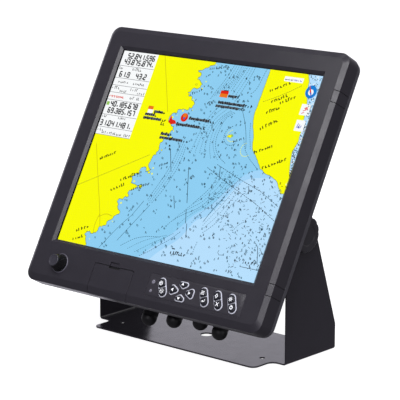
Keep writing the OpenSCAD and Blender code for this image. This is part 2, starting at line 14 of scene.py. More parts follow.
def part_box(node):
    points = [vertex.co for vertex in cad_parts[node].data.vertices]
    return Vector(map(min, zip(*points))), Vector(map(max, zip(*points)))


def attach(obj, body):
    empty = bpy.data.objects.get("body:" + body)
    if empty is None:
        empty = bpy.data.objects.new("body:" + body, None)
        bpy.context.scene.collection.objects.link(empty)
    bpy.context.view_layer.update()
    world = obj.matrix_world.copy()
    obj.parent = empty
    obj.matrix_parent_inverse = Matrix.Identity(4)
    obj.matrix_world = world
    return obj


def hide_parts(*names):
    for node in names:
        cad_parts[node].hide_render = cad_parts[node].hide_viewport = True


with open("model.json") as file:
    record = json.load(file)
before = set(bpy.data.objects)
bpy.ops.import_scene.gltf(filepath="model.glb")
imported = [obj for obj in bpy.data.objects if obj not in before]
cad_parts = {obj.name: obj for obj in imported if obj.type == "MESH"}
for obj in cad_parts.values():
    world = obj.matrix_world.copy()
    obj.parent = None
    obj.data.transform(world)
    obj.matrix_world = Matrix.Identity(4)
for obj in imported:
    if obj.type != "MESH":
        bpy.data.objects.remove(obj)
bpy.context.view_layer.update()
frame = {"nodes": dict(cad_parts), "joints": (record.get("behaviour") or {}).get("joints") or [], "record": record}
random.seed(20)

# ---------------------------------------------------------------- places
MM = 0.001
JOINTS = {j["name"]: j for j in frame["joints"]}
RIGHT = Vector((1, 0, 0))
BACK = Vector(JOINTS["knob_push"]["axis"]).normalized()
UP = RIGHT.cross(BACK)
PIVOT = Vector(JOINTS["head_tilt"]["pos_m"])
LCD_MIDDLE_W = 3.0
SCREEN = sum(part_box("lcd_panel"), Vector()) / 2 - BACK * LCD_MIDDLE_W * MM
HEAD = Matrix.Translation(SCREEN) @ Matrix((RIGHT, BACK, UP)).transposed().to_4x4() @ Matrix.Scale(MM, 4)

FACE_W, CHAMFER_W, LIP_W, BACK_W = -4.5, -0.5, -1.2, 20.5
EDGE_U, TOP_V, BOTTOM_V, CORNER_R, FACE_CORNER_R = 201.3, 167.7, -195.3, 14, 9.5
CHAMFER_SIDE, CHAMFER_TOP, CHAMFER_BOTTOM = 6.5, 7.7, 9.1
HALF_W, HALF_H = 169, 135.2
BEVEL_SLOPE = 1.25
DOOR_U, DOOR_TOP, DOOR_SEAM, LEAF_THICK = (-85.6, -17.7), -155.3, 0.6, 2.4
RECESS_U, RECESS_TOP = (-60.4, -44.8), -149.6
NOTCH_U, NOTCH_DEEP = (-61.5, -42), 2.8
HINGE = (1.2, -193.2)
KNUCKLE_R = 2.1
PANEL_U, PANEL_V, PANEL_W = (10.8, 167.7), (-181.2, -151.5), -4.3
LAMPS = (("light_sensor", (19.6, -162.2), 2.7), ("status_led", (19.4, -174.1), 2.0))
KNOB = (-144.6, -166.4)
CLIP_V, CLIP_LEN = (110.7, -139.5), 15
PAIR_U, PAIR_V, PAIR_LEAN = (37, 106, 128.5, 151), -166.8, math.radians(26.7)
CURSOR = (69.3, -166.5)
CONNECTORS = ((-33.1, -198.2), (8.4, -193.2), (51.3, -187.9), (86, -194.2))
CONNECTOR_W, CONNECTOR_R, HOUSING_BOTTOM = 70, 10.1, -158


# ---------------------------------------------------------------- materials
class Tree:
    """A node tree, with short calls for the nodes that the finishes share."""

    def __init__(self, tree):
        self.tree = tree

    def feed(self, socket, value):
        """Gives a socket a value, or the output of another node."""
        if isinstance(value, bpy.types.NodeSocket):
            self.tree.links.new(value, socket)
        else:
            socket.default_value = value

    def new(self, kind, inputs=None, **settings):
        node = self.tree.nodes.new(kind)
        for key, value in settings.items():
            setattr(node, key, value)
        for key, value in (inputs or {}).items():
            self.feed(node.inputs[key], value)
        return node

    def dot(self, a, b):
        return self.new("ShaderNodeVectorMath", {0: a, 1: b}, operation="DOT_PRODUCT").outputs["Value"]

    def math(self, operation, a, b):
        return self.new("ShaderNodeMath", {0: a, 1: b}, operation=operation).outputs["Value"]

    def spread(self, source, low, high, start=0.3, stop=0.7, curve="LINEAR"):
        """Maps start to stop onto low to high, clamped at both ends."""
        inputs = {"Value": source, "From Min": start, "From Max": stop, "To Min": low, "To Max": high}
        return self.new("ShaderNodeMapRange", inputs, interpolation_type=curve).outputs["Result"]


class Nodes(Tree):
    """One node material on the object's own coordinates."""

    def __init__(self, name):
        self.mat = bpy.data.materials.new(name)
        self.mat.use_nodes = True
        super().__init__(self.mat.node_tree)
        self.shader = self.tree.nodes["Principled BSDF"]
        self.coord = self.new("ShaderNodeTexCoord").outputs["Object"]

    def set(self, **values):
        for key, value in values.items():
            self.feed(self.shader.inputs[key.replace("_", " ")], value)

    def noise(self, scale, detail=3.0, rough=0.55, stretch=None):
        source = self.coord
        if stretch:
            source = self.new("ShaderNodeMapping", {"Vector": source, "Scale": stretch}).outputs["Vector"]
        inputs = {"Vector": source, "Scale": scale, "Detail": detail, "Roughness": rough}
        return self.new("ShaderNodeTexNoise", inputs).outputs["Fac"]

    def ramp(self, source, stops):
        node = self.new("ShaderNodeValToRGB", {"Fac": source})
        elements = node.color_ramp.elements
        while len(elements) < len(stops):
            elements.new(0.5)
        for element, (place, colour) in zip(elements, stops):
            element.position = place
            element.color = (*colour, 1)
        return node.outputs["Color"]

    def mix(self, factor, a, b):
        return self.new("ShaderNodeMix", {0: factor, 6: a, 7: b}, data_type="RGBA").outputs[2]

    def bump(self, source, depth, strength=1.0, under=None):
        inputs = {"Height": source, "Distance": depth, "Strength": strength}
        if under is not None:
            inputs["Normal"] = under
        return self.new("ShaderNodeBump", inputs).outputs["Normal"]


def tint(rgb, k):
    return tuple(min(1, c * k) for c in rgb)


def edge_mask(n, radius):
    """1 along convex and concave edges, broken up by noise."""
    rounded = n.new("ShaderNodeBevel", {"Radius": radius}, samples=6).outputs["Normal"]
    level = n.dot(rounded, n.new("ShaderNodeNewGeometry").outputs["Normal"])
    return n.math("MULTIPLY", n.spread(level, 0, 1, 0.995, 0.90), n.spread(n.noise(420, 4), 0, 1))


def coat(name, rgb, rough=0.45, grain=2200, depth=0.00006, mottle=0.12, wear=0.0, metallic=0.0, spec=0.5,
         glow=0.0):
    """Paint, powder coat or moulded plastic: colour drift, fine grain in the surface, patchy gloss, rubbed edges."""
    n = Nodes(name)
    colour = n.ramp(n.noise(38, 5), [(0.25, tint(rgb, 1 - mottle)), (0.75, tint(rgb, 1 + mottle))])
    fleck = n.ramp(n.noise(grain * 0.6, 2), [(0.35, tint(rgb, 0.8)), (0.7, tint(rgb, 1.25))])
    colour = n.mix(0.35, colour, fleck)
    if wear:
        worn = n.math("MULTIPLY", edge_mask(n, 0.0006), wear)
        colour = n.mix(worn, colour, (*(0.25 + 0.4 * c for c in rgb), 1))
    low_wave = n.bump(n.noise(130, 2), depth * 1.5, 0.25)
    n.set(Base_Color=colour, Roughness=n.spread(n.noise(55, 4), rough * 0.85, rough * 1.15),
          Normal=n.bump(n.noise(grain, 2), depth, 0.7, low_wave), Metallic=metallic, Specular_IOR_Level=spec,
          Emission_Strength=glow)
    if glow:
        n.set(Emission_Color=colour)
    return n.mat


def metal(name, rgb, rough=0.3, stretch=(1, 1, 1), grain=900, depth=0.00002):
    """Bare metal with drawn or turned lines."""
    n = Nodes(name)
    lines = n.noise(grain, 3, stretch=stretch)
    n.set(Base_Color=n.ramp(lines, [(0.3, tint(rgb, 0.82)), (0.7, tint(rgb, 1.1))]), Metallic=1.0,
          Roughness=n.spread(n.noise(90, 4), rough * 0.7, rough * 1.35), Normal=n.bump(lines, depth, 0.6))
    return n.mat


def lit(name, rgb, drift=0.02):
    """A patch of the lit picture: it glows, with the slight unevenness of a backlight."""
    n = Nodes(name)
    n.set(Emission_Color=n.ramp(n.noise(24, 2), [(0.3, tint(rgb, 1 - drift)), (0.7, rgb)]), Emission_Strength=1.0,
          Base_Color=(0, 0, 0, 1), Roughness=0.7, Specular_IOR_Level=0.0)
    return n.mat


def srgb(r, g, b):
    """Linear colour from 0 to 255 display values."""
    return tuple((c / 255 / 12.92) if c <= 10 else ((c / 255 + 0.055) / 1.055) ** 2.4 for c in (r, g, b))


def glass_material():
    n = Nodes("cover_glass_clear")
    n.set(Roughness=n.spread(n.noise(30, 3), 0.015, 0.05), Base_Color=(0.97, 0.99, 1.0, 1),
          Transmission_Weight=1.0, IOR=1.12)
    return n.mat


def board_material():
    n = Nodes("circuit_board_green")
    tracks = n.new("ShaderNodeTexBrick", {
        "Vector": n.coord, "Scale": 260, "Color1": (0.01, 0.12, 0.05, 1), "Color2": (0.015, 0.16, 0.07, 1),
        "Mortar": (0.03, 0.26, 0.12, 1)})
    n.set(Base_Color=tracks.outputs["Color"], Normal=n.bump(tracks.outputs["Fac"], 0.00004, 0.5),
          Roughness=n.spread(n.noise(70, 3), 0.25, 0.4))
    return n.mat


CHARCOAL = srgb(49, 47, 54)
# Each coat: name, colour, roughness, scale of the grain, its depth in metres, colour drift, wear, metallic.
M = {
    "bezel": coat("bezel_charcoal", CHARCOAL, 0.36, 2600, 0.00005, 0.10, 0.10),
    "cover": coat("cover_charcoal", srgb(84, 83, 90), 0.5, 1800, 0.00008, 0.14, 0.14),
    "sink": coat("sink_anodised", srgb(40, 40, 43), 0.42, 3000, 0.00004, 0.12, 0.2, 0.6),
    "bracket": coat("bracket_powder_coat", CHARCOAL, 0.2, 1500, 0.000006, 0.06, 0.12, spec=0.5),
    "clamp": coat("clamp_moulded", srgb(58, 57, 62), 0.38, 2400, 0.00005, 0.12, 0.12),
    "panel": coat("panel_grey", srgb(54, 52, 59), 0.42, 3200, 0.00004, 0.08),
    "key": coat("key_soft_touch", srgb(30, 31, 40), 0.36, 3400, 0.00003, 0.08, 0.06),
    "rim": coat("rim_translucent", srgb(214, 216, 228), 0.28, 3000, 0.00002, 0.05, glow=0.12),
    "legend": coat("legend_white", srgb(244, 246, 250), 0.45, 3600, 0.00001, 0.04, glow=0.45),
    "knob": coat("knob_black", srgb(16, 16, 19), 0.4, 3000, 0.00004, 0.12, 0.08),
    # Painted light: a lighter grey for the knob's front, which faces the light; the knob itself is black.
    "knob_front_painted_light": coat("painted_light_knob_front_grey", srgb(58, 57, 66), 0.4, 2800, 0.00003, 0.08, 0.1),
    # Painted highlight: a lighter grey for the collar's outer edge, standing in for the light it catches.
    "collar_rim_painted_highlight": coat("painted_highlight_collar_rim", srgb(112, 110, 122), 0.3, 3000, 0.00002, 0.08, 0.1),
    "collar": coat("collar_black", srgb(26, 26, 30), 0.22, 3000, 0.00002, 0.08, 0.1),
    "lamp": coat("lamp_window", srgb(134, 132, 144), 0.2, 2000, 0.00001, 0.06),
    "rubber": coat("seal_rubber", srgb(17, 17, 17), 0.75, 1200, 0.0001, 0.15),
    "moulding": coat("moulding_black", srgb(24, 24, 26), 0.36, 2200, 0.00005, 0.12, 0.1),
    "fibre": coat("washer_fibre", srgb(120, 112, 96), 0.8, 900, 0.0001, 0.2),
    "steel": metal("screw_steel", srgb(176, 176, 178), 0.3, (1, 1, 6)),
    "sheet": metal("plated_sheet", srgb(160, 162, 165), 0.35, (8, 1, 1)),
    "brass": metal("insert_brass", srgb(198, 168, 96), 0.3),
    "aluminium": metal("milled_aluminium", srgb(190, 192, 196), 0.35, (1, 8, 1)),
    "board": board_material(),
    "chip": coat("chip_black", srgb(30, 30, 33), 0.5, 2600, 0.00003, 0.1),
    "glass": glass_material(),
    "cell": coat("lcd_cell_dark", srgb(16, 17, 22), 0.3, 2600, 0.00001, 0.1),
}
SLOT_FINISH = {
    "bracket_steel": "bracket", "clamp_plastic": "clamp", "stud_steel": "steel", "washer_fibre": "fibre",
    "bezel_paint": "bezel", "cover_paint": "cover", "screen_glass": "glass", "picture": "cell",
    "seal_rubber": "rubber", "sheet_metal": "sheet", "insert_brass": "brass", "thermal_metal": "aluminium",
    "circuit_board": "board", "chip_plastic": "chip", "panel_plastic": "panel", "rim_plastic": "rim",
    "lamp_plastic": "lamp", "key_plastic": "key", "encoder_metal": "sheet", "knob_plastic": "knob",
    "collar_metal": "collar", "bay_plastic": "moulding",
}
NODE_SLOT = {s["node"]: s["material_slot"] for s in frame["record"]["subparts"]}


def finish_of(node):
    return "sink" if node == "heat_sink" else SLOT_FINISH[NODE_SLOT[node]]


def paint(mesh, *finishes):
    """Gives a mesh its finishes. Clearing also resets each face's finish, so an empty list is left alone."""
    if mesh.materials:
        mesh.materials.clear()
    for name in finishes:
        mesh.materials.append(M[name])


def shade(mesh, sharp):
    """Smooth shading, but for the edges sharper than this many degrees."""
    mesh.polygons.foreach_set("use_smooth", [True] * len(mesh.polygons))
    mesh.set_sharp_from_angle(angle=math.radians(sharp))


for node_name, node_obj in frame["nodes"].items():
    paint(node_obj.data, finish_of(node_name))
    shade(node_obj.data, 28)


# ---------------------------------------------------------------- mesh helpers
def placed(name, bm, place=HEAD):
    """A new object from a mesh under construction, turned from its own frame into the row's."""
    mesh = bpy.data.meshes.new(name)
    bm.to_mesh(mesh)
    bm.free()
    mesh.transform(place)
    obj = bpy.data.objects.new(name, mesh)
    bpy.context.scene.collection.objects.link(obj)
    return obj


def to_object(name, bm, place=HEAD):
    """The same for a closed shape, whose faces are first made to look outwards."""
    bmesh.ops.recalc_face_normals(bm, faces=bm.faces)
    return placed(name, bm, place)


def made(name, build, *args, place=HEAD):
    """An object that one building function makes whole."""
    bm = bmesh.new()
    build(bm, *args)
    return to_object(name, bm, place)


def cutter(build, *args):
    return made("cutter", build, *args)


def angles(count):
    """Even steps round a full turn."""
    return [math.tau * k / count for k in range(count)]


def polar(centre, radius, angle):
    return centre[0] + radius * math.cos(angle), centre[1] + radius * math.sin(angle)


def circle_ring(centre, radius, w, count=144, ribs=0, depth=0.0):
    """A ring at depth w, round or with ribs that stand out by depth."""
    points = []
    for a in angles(count):
        u, v = polar(centre, radius - depth * (0.5 + 0.5 * math.cos(ribs * a)) ** 2, a)
        points.append((u, w, v))
    return points


def applied(obj):
    """The object with its modifiers made final."""
    bpy.context.view_layer.update()
    final = bpy.data.meshes.new_from_object(obj.evaluated_get(bpy.context.evaluated_depsgraph_get()))
    obj.modifiers.clear()
    obj.data = final
    return obj


def bevelled(obj, width, angle=35, sharp=50):
    """Softens the sharp edges and leaves the flat faces shading flat."""
    obj.data.polygons.foreach_set("use_smooth", [True] * len(obj.data.polygons))
    modifier = obj.modifiers.new("edge", "BEVEL")
    modifier.width = width * MM
    modifier.segments = 2
    modifier.limit_method = "ANGLE"
    modifier.angle_limit = math.radians(angle)
    modifier.use_clamp_overlap = False
    applied(obj)
    obj.data.set_sharp_from_angle(angle=math.radians(sharp))
    normals = obj.modifiers.new("normals", "WEIGHTED_NORMAL")
    normals.keep_sharp = True
    normals.weight = 60
    return applied(obj)


def finish(obj, body, node, *finishes, sharp=30):
    """Paints and shades the piece that takes a CAD node's place, and puts it on its body."""
    paint(obj.data, *finishes)
    if not obj.data.has_custom_normals:  # a bevelled piece keeps its own
        shade(obj.data, sharp)
    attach(obj, body)
    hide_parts(node)


def loft(bm, rings, cap_start=True, cap_end=True):
    """Joins closed rings of points, each as long as the next, and caps the ends."""
    rows = [[bm.verts.new(p) for p in ring] for ring in rings]
    count = len(rows[0])
    for a, b in zip(rows, rows[1:]):
        for i in range(count):
            j = (i + 1) % count
            bm.faces.new((a[i], a[j], b[j], b[i]))
    if cap_start:
        bm.faces.new(rows[0])
    if cap_end:
        bm.faces.new(rows[-1])


def box_mesh(bm, u, w, v):
    bmesh.ops.create_cube(bm, size=1, matrix=Matrix.Translation(
        ((u[0] + u[1]) / 2, (w[0] + w[1]) / 2, (v[0] + v[1]) / 2)) @ Matrix.Diagonal(
        (u[1] - u[0], w[1] - w[0], v[1] - v[0], 1)))


def prism(bm, outline, low, high, axis="w"):
    """A straight prism: outline is (u, v) along w, or (w, v) along u."""
    def point(p, depth):
        return (p[0], depth, p[1]) if axis == "w" else (depth, p[0], p[1])
    loft(bm, [[point(p, low) for p in outline], [point(p, high) for p in outline]])


def rounded_box(u, v, radius, steps=10):
    points = []
    for cu, cv, start in ((u[1], v[1], 0), (u[0], v[1], 90), (u[0], v[0], 180), (u[1], v[0], 270)):
        cu += -radius if cu == u[1] else radius
        cv += -radius if cv == v[1] else radius
        points += [polar((cu, cv), radius, math.radians(start + 90 * k / steps)) for k in range(steps + 1)]
    return points


def cut(obj, *tools, operation="DIFFERENCE"):
    """Cuts an object with others, or joins it to them, and removes those."""
    for tool in tools:
        modifier = obj.modifiers.new("cut", "BOOLEAN")
        modifier.operation = operation
        modifier.solver = "EXACT"
        modifier.object = tool
    applied(obj)
    for tool in tools:
        bpy.data.objects.remove(tool)
    return obj


def refined(node, body, width):
    """A CAD piece copied, welded back into whole faces and given softened edges."""
    bm = bmesh.new()
    bm.from_mesh(frame["nodes"][node].data)
    bmesh.ops.remove_doubles(bm, verts=bm.verts, dist=2e-6)
    bmesh.ops.dissolve_limit(bm, angle_limit=math.radians(0.6), verts=bm.verts, edges=bm.edges)
    obj = to_object(node + "_finished", bm, Matrix.Identity(4))
    bevelled(obj, width)
    finish(obj, body, node, finish_of(node))


# ---------------------------------------------------------------- shell of the head
def head_ring(share, w, extra=0.0):
    """The bezel's outline at depth w, drawn in by a share of the chamfer and by extra millimetres."""
    radius = CORNER_R - (CORNER_R - FACE_CORNER_R) * share - extra
    return [(p[0], w, p[1]) for p in rounded_box(
        (-EDGE_U + CHAMFER_SIDE * share + extra, EDGE_U - CHAMFER_SIDE * share - extra),
        (BOTTOM_V + CHAMFER_BOTTOM * share + extra, TOP_V - CHAMFER_TOP * share - extra), radius)]


def bezel_form(bm):
    """The solid outer form: flat face, soft shoulder, chamfer, soft edge, side wall, eased rear edge."""
    shoulder = [(1.05, FACE_W), (1.01, FACE_W + 0.03), (0.975, FACE_W + 0.11), (0.94, FACE_W + 0.24)]
    edge = [(0.06, CHAMFER_W - 0.24), (0.02, CHAMFER_W - 0.03), (0.005, CHAMFER_W + 0.2), (0, CHAMFER_W + 0.5)]
    rings = [head_ring(share, w) for share, w in shoulder + edge]
    rings += [head_ring(0, BACK_W - 0.5), head_ring(0, BACK_W - 0.15, 0.15), head_ring(0, BACK_W, 0.5)]
    loft(bm, rings)


def screen_opening(bm):
    """The sloping bevel round the picture, as a solid to cut away."""
    border = 0.6
    rings = []
    for w in (FACE_W - 1, LIP_W + 1):
        out = border + (LIP_W - w) * BEVEL_SLOPE
        rings.append([(su * (HALF_W + out), w, sv * (HALF_H + out))
                      for su, sv in ((1, 1), (-1, 1), (-1, -1), (1, -1))])
    loft(bm, rings)


def cavity(bm):
    """The hollow behind the bezel's face."""
    wall = 3
    prism(bm, rounded_box((-EDGE_U + wall, EDGE_U - wall), (BOTTOM_V + wall, TOP_V - wall), CORNER_R - wall),
          LIP_W, BACK_W + 2)


def door_profile(grow):
    """The door leaf in section, from its top edge down to the hinge."""
    low_v = HINGE[1] - KNUCKLE_R
    leaf = FACE_W + LEAF_THICK
    return [(FACE_W - 2, DOOR_TOP + grow), (leaf, DOOR_TOP + grow), (leaf, -186.5), (HINGE[0], -191),
            (HINGE[0], low_v), (FACE_W - 2, low_v)]


def clip_zone(bm, side, v, grow):
    """Where a clip wraps over the chamfer and down the side wall."""
    inner, outer = EDGE_U - CHAMFER_SIDE - grow, EDGE_U + 2
    low, high = v - CLIP_LEN / 2 - grow, v + CLIP_LEN / 2 + grow
    wall, under = EDGE_U - 2 - grow, LIP_W - 0.1 + grow
    outline = [(inner, FACE_W - 2), (outer, FACE_W - 2), (outer, BACK_W + 1), (wall, BACK_W + 1), (wall, under),
               (inner, under)]
    loft(bm, [[(side * p[0], p[1], z) for p in outline] for z in (low, high)])


def round_cutter(bm, centre, w0, w1, radius, count=48):
    prism(bm, [polar(centre, radius, a) for a in angles(count)], w0, w1)


def build_bezel():
    obj = made("front_bezel_shell", bezel_form)
    before, beyond, below = FACE_W - 1, LIP_W + 1, BOTTOM_V - 5
    door_u = (DOOR_U[0] - DOOR_SEAM, DOOR_U[1] + DOOR_SEAM)
    plate_u, plate_v = (PANEL_U[0] + 3, PANEL_U[1] - 3), (PANEL_V[0] + 2, PANEL_V[1] - 2)
    cutters = [
        cutter(cavity),
        cutter(screen_opening),
        cutter(box_mesh, door_u, (FACE_W - 2, CHAMFER_W), (below, DOOR_TOP + DOOR_SEAM)),
        cutter(box_mesh, door_u, (CHAMFER_W - 1, 4.4), (below, -190.5)),
        cutter(prism, rounded_box(RECESS_U, (DOOR_TOP - 4, RECESS_TOP), 1.2, 4), before, FACE_W + 2.2),
        cutter(prism, rounded_box(PANEL_U, PANEL_V, 2, 6), before, PANEL_W + 1.2),
        cutter(prism, rounded_box(plate_u, plate_v, 2, 6), before, beyond),
        cutter(round_cutter, KNOB, before, beyond, 4.6),
    ]
    cutters += [cutter(clip_zone, side, v, 0.45) for side in (-1, 1) for v in CLIP_V]
    cut(obj, *cutters)
    bevelled(obj, 0.3, 50, sharp=28)
    finish(obj, "head", "front_bezel", "bezel")


def build_clips():
    parts = [cut(made("clip", bezel_form), cutter(clip_zone, side, v, -0.05), operation="INTERSECT")
             for side in (-1, 1) for v in CLIP_V]
    obj = join("side_clips_set", parts)
    bevelled(obj, 0.25, 50)
    finish(obj, "head", "side_clips", "bezel")


def join(name, parts):
    """One object from several, with their meshes side by side."""
    bm = bmesh.new()
    for part in parts:
        bm.from_mesh(part.data)
        bpy.data.objects.remove(part)
    return to_object(name, bm, Matrix.Identity(4))


def build_door():
    obj = made("card_door_leaf", bezel_form)
    inset = 0.1
    span = DOOR_U[0] + inset, DOOR_U[1] - inset, "u"
    cut(obj, cutter(prism, door_profile(-inset), *span), operation="INTERSECT")
    cut(obj, cutter(prism, [polar(HINGE, KNUCKLE_R, a) for a in angles(32)], *span), operation="UNION")
    notch_v = DOOR_TOP - NOTCH_DEEP
    cut(obj, cutter(prism, rounded_box(NOTCH_U, (notch_v, DOOR_TOP + 3), 0.8, 4), FACE_W - 1, FACE_W + 3.4))
    # The inside of the finger notch takes the black collar finish, as painted shade in the recess.
    for face in obj.data.polygons:
        u, w, v = face.center
        if w > FACE_W + 1 and v > notch_v - 0.4 and NOTCH_U[0] - 0.1 < u < NOTCH_U[1] + 0.1:
            face.material_index = 1
    bevelled(obj, 0.25, 50)
    finish(obj, "door", "card_door", "bezel", "collar")


# ---------------------------------------------------------------- keys
def circle_hull(circles, grow=0.0, count=72):
    """The outline of the hull of circles (x, y, r), found by its support point in each direction."""
    points = []
    for a in angles(count):
        x, y, r = max(circles, key=lambda c: c[0] * math.cos(a) + c[1] * math.sin(a) + c[2])
        points.append(polar((x, y), r + grow, a))
    return points


def turned_circles(circles, angle, centre):
    """Circles about the origin, turned and moved to a centre."""
    c, s = math.cos(angle), math.sin(angle)
    return [(centre[0] + x * c - y * s, centre[1] + x * s + y * c, r) for x, y, r in circles]


PILL_LEN, PILL_WIDE, PILL_BAR = 23, 9.4, 1.5


def pair_circles(index, side):
    """One key of a pair: round at its outer end, nearly square at the bar between the two."""
    half = PILL_WIDE / 2
    corner = 0.9
    inner = [(0, side * (PILL_LEN / 2 - half), half),
             (half - corner, side * (PILL_BAR / 2 + corner), corner),
             (-half + corner, side * (PILL_BAR / 2 + corner), corner)]
    return turned_circles(inner, PAIR_LEAN, (PAIR_U[index], PAIR_V))


def pill_circles(index):
    """The pill that both keys of a pair fill."""
    half = PILL_WIDE / 2
    ends = [(0, s * (PILL_LEN / 2 - half), half) for s in (-1, 1)]
    return turned_circles(ends, PAIR_LEAN, (PAIR_U[index], PAIR_V))


def cursor_circles(angle):
    """One cursor key, a rounded triangle with its point towards the cluster's centre."""
    flat = angle % 180 == 0
    reach = 13 if flat else 8.2
    tip = (reach - 3.2, 0, 2.2) if flat else (reach - 1.4, 0, 1.8)
    base = (reach + 2.8, 2.9, 2.4) if flat else (reach + 1.3, 4, 2)
    return turned_circles([tip, base, (base[0], -base[1], base[2])], math.radians(angle), CURSOR)


def centre_of(points):
    return (sum(p[0] for p in points) / len(points), sum(p[1] for p in points) / len(points))


KEY_TOP_W = -7.0
KEY_CROWN = 0.28
RIM_WIDE = 1.5


def keycap(bm, circles):
    """A crowned cap with a rounded shoulder."""
    middle = centre_of(circle_hull(circles))
    gap, shoulder = 0.02, 0.75
    side = circle_hull(circles, -gap)
    rings = [[(x, w, y) for x, y in side] for w in (LIP_W - 0.6, KEY_TOP_W + shoulder)]
    for a in map(math.radians, (30, 60, 90)):
        rings.append([(x, KEY_TOP_W + shoulder * (1 - math.sin(a)), y)
                      for x, y in circle_hull(circles, -gap - shoulder * (1 - math.cos(a)))])
    flat = circle_hull(circles, -gap - shoulder)
    for share in (0.72, 0.4, 0.12):
        rings.append([(middle[0] + (x - middle[0]) * share, KEY_TOP_W - KEY_CROWN * (1 - share ** 2),
                       middle[1] + (y - middle[1]) * share) for x, y in flat])
    loft(bm, rings)


def rim(bm, outer):
    """A low rounded rim that stands round one or two keys."""
    high, base, ease = PANEL_W - 0.75, PANEL_W + 0.2, 0.35
    loft(bm, [[(x, w, y) for x, y in circle_hull(outer, grow)]
              for w, grow in ((base, RIM_WIDE), (high + ease, RIM_WIDE), (high, RIM_WIDE - ease))])


def icon_bars(bm, centre, bars, w):
    """Flat raised strokes: each is (x0, y0, x1, y1, width) from the icon's centre."""
    for x0, y0, x1, y1, width in bars:
        a, b = Vector((x0, y0)), Vector((x1, y1))
        along = (b - a).normalized() * width / 2
        side = Vector((-along.y, along.x))
        corners = [a - along + side, a - along - side, b + along - side, b + along + side]
        outline = [(centre[0] + c.x, centre[1] + c.y) for c in corners]
        prism(bm, outline, w, w + 0.3)


def ring_bars(radius, start, stop, steps, width):
    """A round stroke as short bars, from one angle to another."""
    points = [polar((0, 0), radius, math.radians(start + (stop - start) * k / steps)) for k in range(steps + 1)]
    return [(*p, *q, width) for p, q in zip(points, points[1:])]


ICONS = {
    "zoom_in_key": [(-1.6, 0, 1.6, 0, 0.8), (0, -1.6, 0, 1.6, 0.8)] + ring_bars(2.6, 0, 360, 16, 0.5),
    "zoom_out_key": [(-1.6, 0, 1.6, 0, 0.8)] + ring_bars(2.6, 0, 360, 16, 0.5),
    "menu_key": [(-2.2, y, 2.2, y, 0.8) for y in (-1.8, 0, 1.8)],
    "enter_key": [(-2, -0.6, 1.6, -0.6, 0.8), (1.6, -0.6, 1.6, 1.8, 0.8), (-2, -0.6, -0.9, 0.5, 0.7),
                  (-2, -0.6, -0.9, -1.7, 0.7)],
    "mark_key": [(0, 2.4, 1.8, 0, 0.8), (1.8, 0, 0, -2.4, 0.8), (0, -2.4, -1.8, 0, 0.8), (-1.8, 0, 0, 2.4, 0.8)],
    "clear_key": [(-1.7, -1.9, 1.7, 1.9, 0.9), (-1.7, 1.9, 1.7, -1.9, 0.9)],
    "bright_key": ring_bars(1.2, 0, 360, 12, 0.7) + [
        (*polar((0, 0), 1.9, a), *polar((0, 0), 2.7, a), 0.6) for a in angles(8)],
    "power_key": ring_bars(2.0, 120, 420, 16, 0.8) + [(0, 0.5, 0, 2.7, 0.8)],
}
PAIR_KEYS = (("zoom_in_key", "zoom_out_key"), ("menu_key", "enter_key"), ("mark_key", "clear_key"),
             ("bright_key", "power_key"))
CURSOR_KEYS = {0: "cursor_right_key", 90: "cursor_up_key", 180: "cursor_left_key", 270: "cursor_down_key"}


def arrow_bars(angle):
    a = math.radians(angle)

    def turn(x, y):
        return x * math.cos(a) - y * math.sin(a), x * math.sin(a) + y * math.cos(a)
    tip, up, down = turn(1.3, 0), turn(-0.9, 1.5), turn(-0.9, -1.5)
    return [(*up, *tip, 0.9), (*down, *tip, 0.9), (*turn(-0.4, 0), *turn(0.4, 0), 1.5)]


def build_key(name, circles, bars):
    bm = bmesh.new()
    keycap(bm, circles)
    cap_faces = len(bm.faces)
    icon_bars(bm, centre_of(circle_hull(circles)), bars, KEY_TOP_W - KEY_CROWN - 0.05)
    bm.faces.ensure_lookup_table()
    for face in bm.faces[cap_faces:]:
        face.material_index = 1
    obj = to_object(name + "_cap", bm)
    finish(obj, name, name, "key", "legend", sharp=40)


def build_keys():
    for index, names in enumerate(PAIR_KEYS):
        for side, name in zip((1, -1), names):
            build_key(name, pair_circles(index, side), ICONS[name])
    for angle, name in CURSOR_KEYS.items():
        build_key(name, cursor_circles(angle), arrow_bars(angle))


def build_rims():
    """A rim round each pair of keys and each cursor key, open where the keys stand."""
    parts = []
    groups = [(pill_circles(i), [pair_circles(i, s) for s in (1, -1)]) for i in range(4)]
    groups += [(cursor_circles(a), [cursor_circles(a)]) for a in CURSOR_KEYS]
    for outer, inners in groups:
        holes = [cutter(prism, circle_hull(inner, 0.3), PANEL_W - 3, PANEL_W + 2) for inner in inners]
        parts.append(cut(made("rim", rim, outer), *holes))
    obj = join("key_rims_set", parts)
    finish(obj, "head", "key_rims", "rim", sharp=40)


def build_panel():
    rings = []
    for inset, w in ((0.1, PANEL_W + 1.2), (0.1, PANEL_W + 0.15), (0.25, PANEL_W)):
        outline = rounded_box((PANEL_U[0] + inset, PANEL_U[1] - inset), (PANEL_V[0] + inset, PANEL_V[1] - inset), 2, 6)
        rings.append([(u, w, v) for u, v in outline])
    shapes = [pair_circles(i, s) for i in range(4) for s in (1, -1)] + [cursor_circles(a) for a in CURSOR_KEYS]
    holes = [cutter(prism, circle_hull(c, 0.25), PANEL_W - 2, PANEL_W + 3) for c in shapes]
    holes += [cutter(round_cutter, centre, PANEL_W - 2, PANEL_W + 3, radius + 0.05) for _, centre, radius in LAMPS]
    obj = cut(made("key_panel_plate", loft, rings), *holes)
    finish(obj, "head", "key_panel", "panel", sharp=40)


def build_lamps():
    """Domed clear windows over the light sensor and the status lamp."""
    dome = ((1, 2.4), (1, PANEL_W - 0.1), (0.9, PANEL_W - 0.3), (0.6, PANEL_W - 0.45), (0.2, PANEL_W - 0.5))
    for name, centre, radius in LAMPS:
        rings = [circle_ring(centre, radius * share, w, 40) for share, w in dome]
        finish(made(name + "_window", loft, rings), "head", name, "lamp", sharp=40)


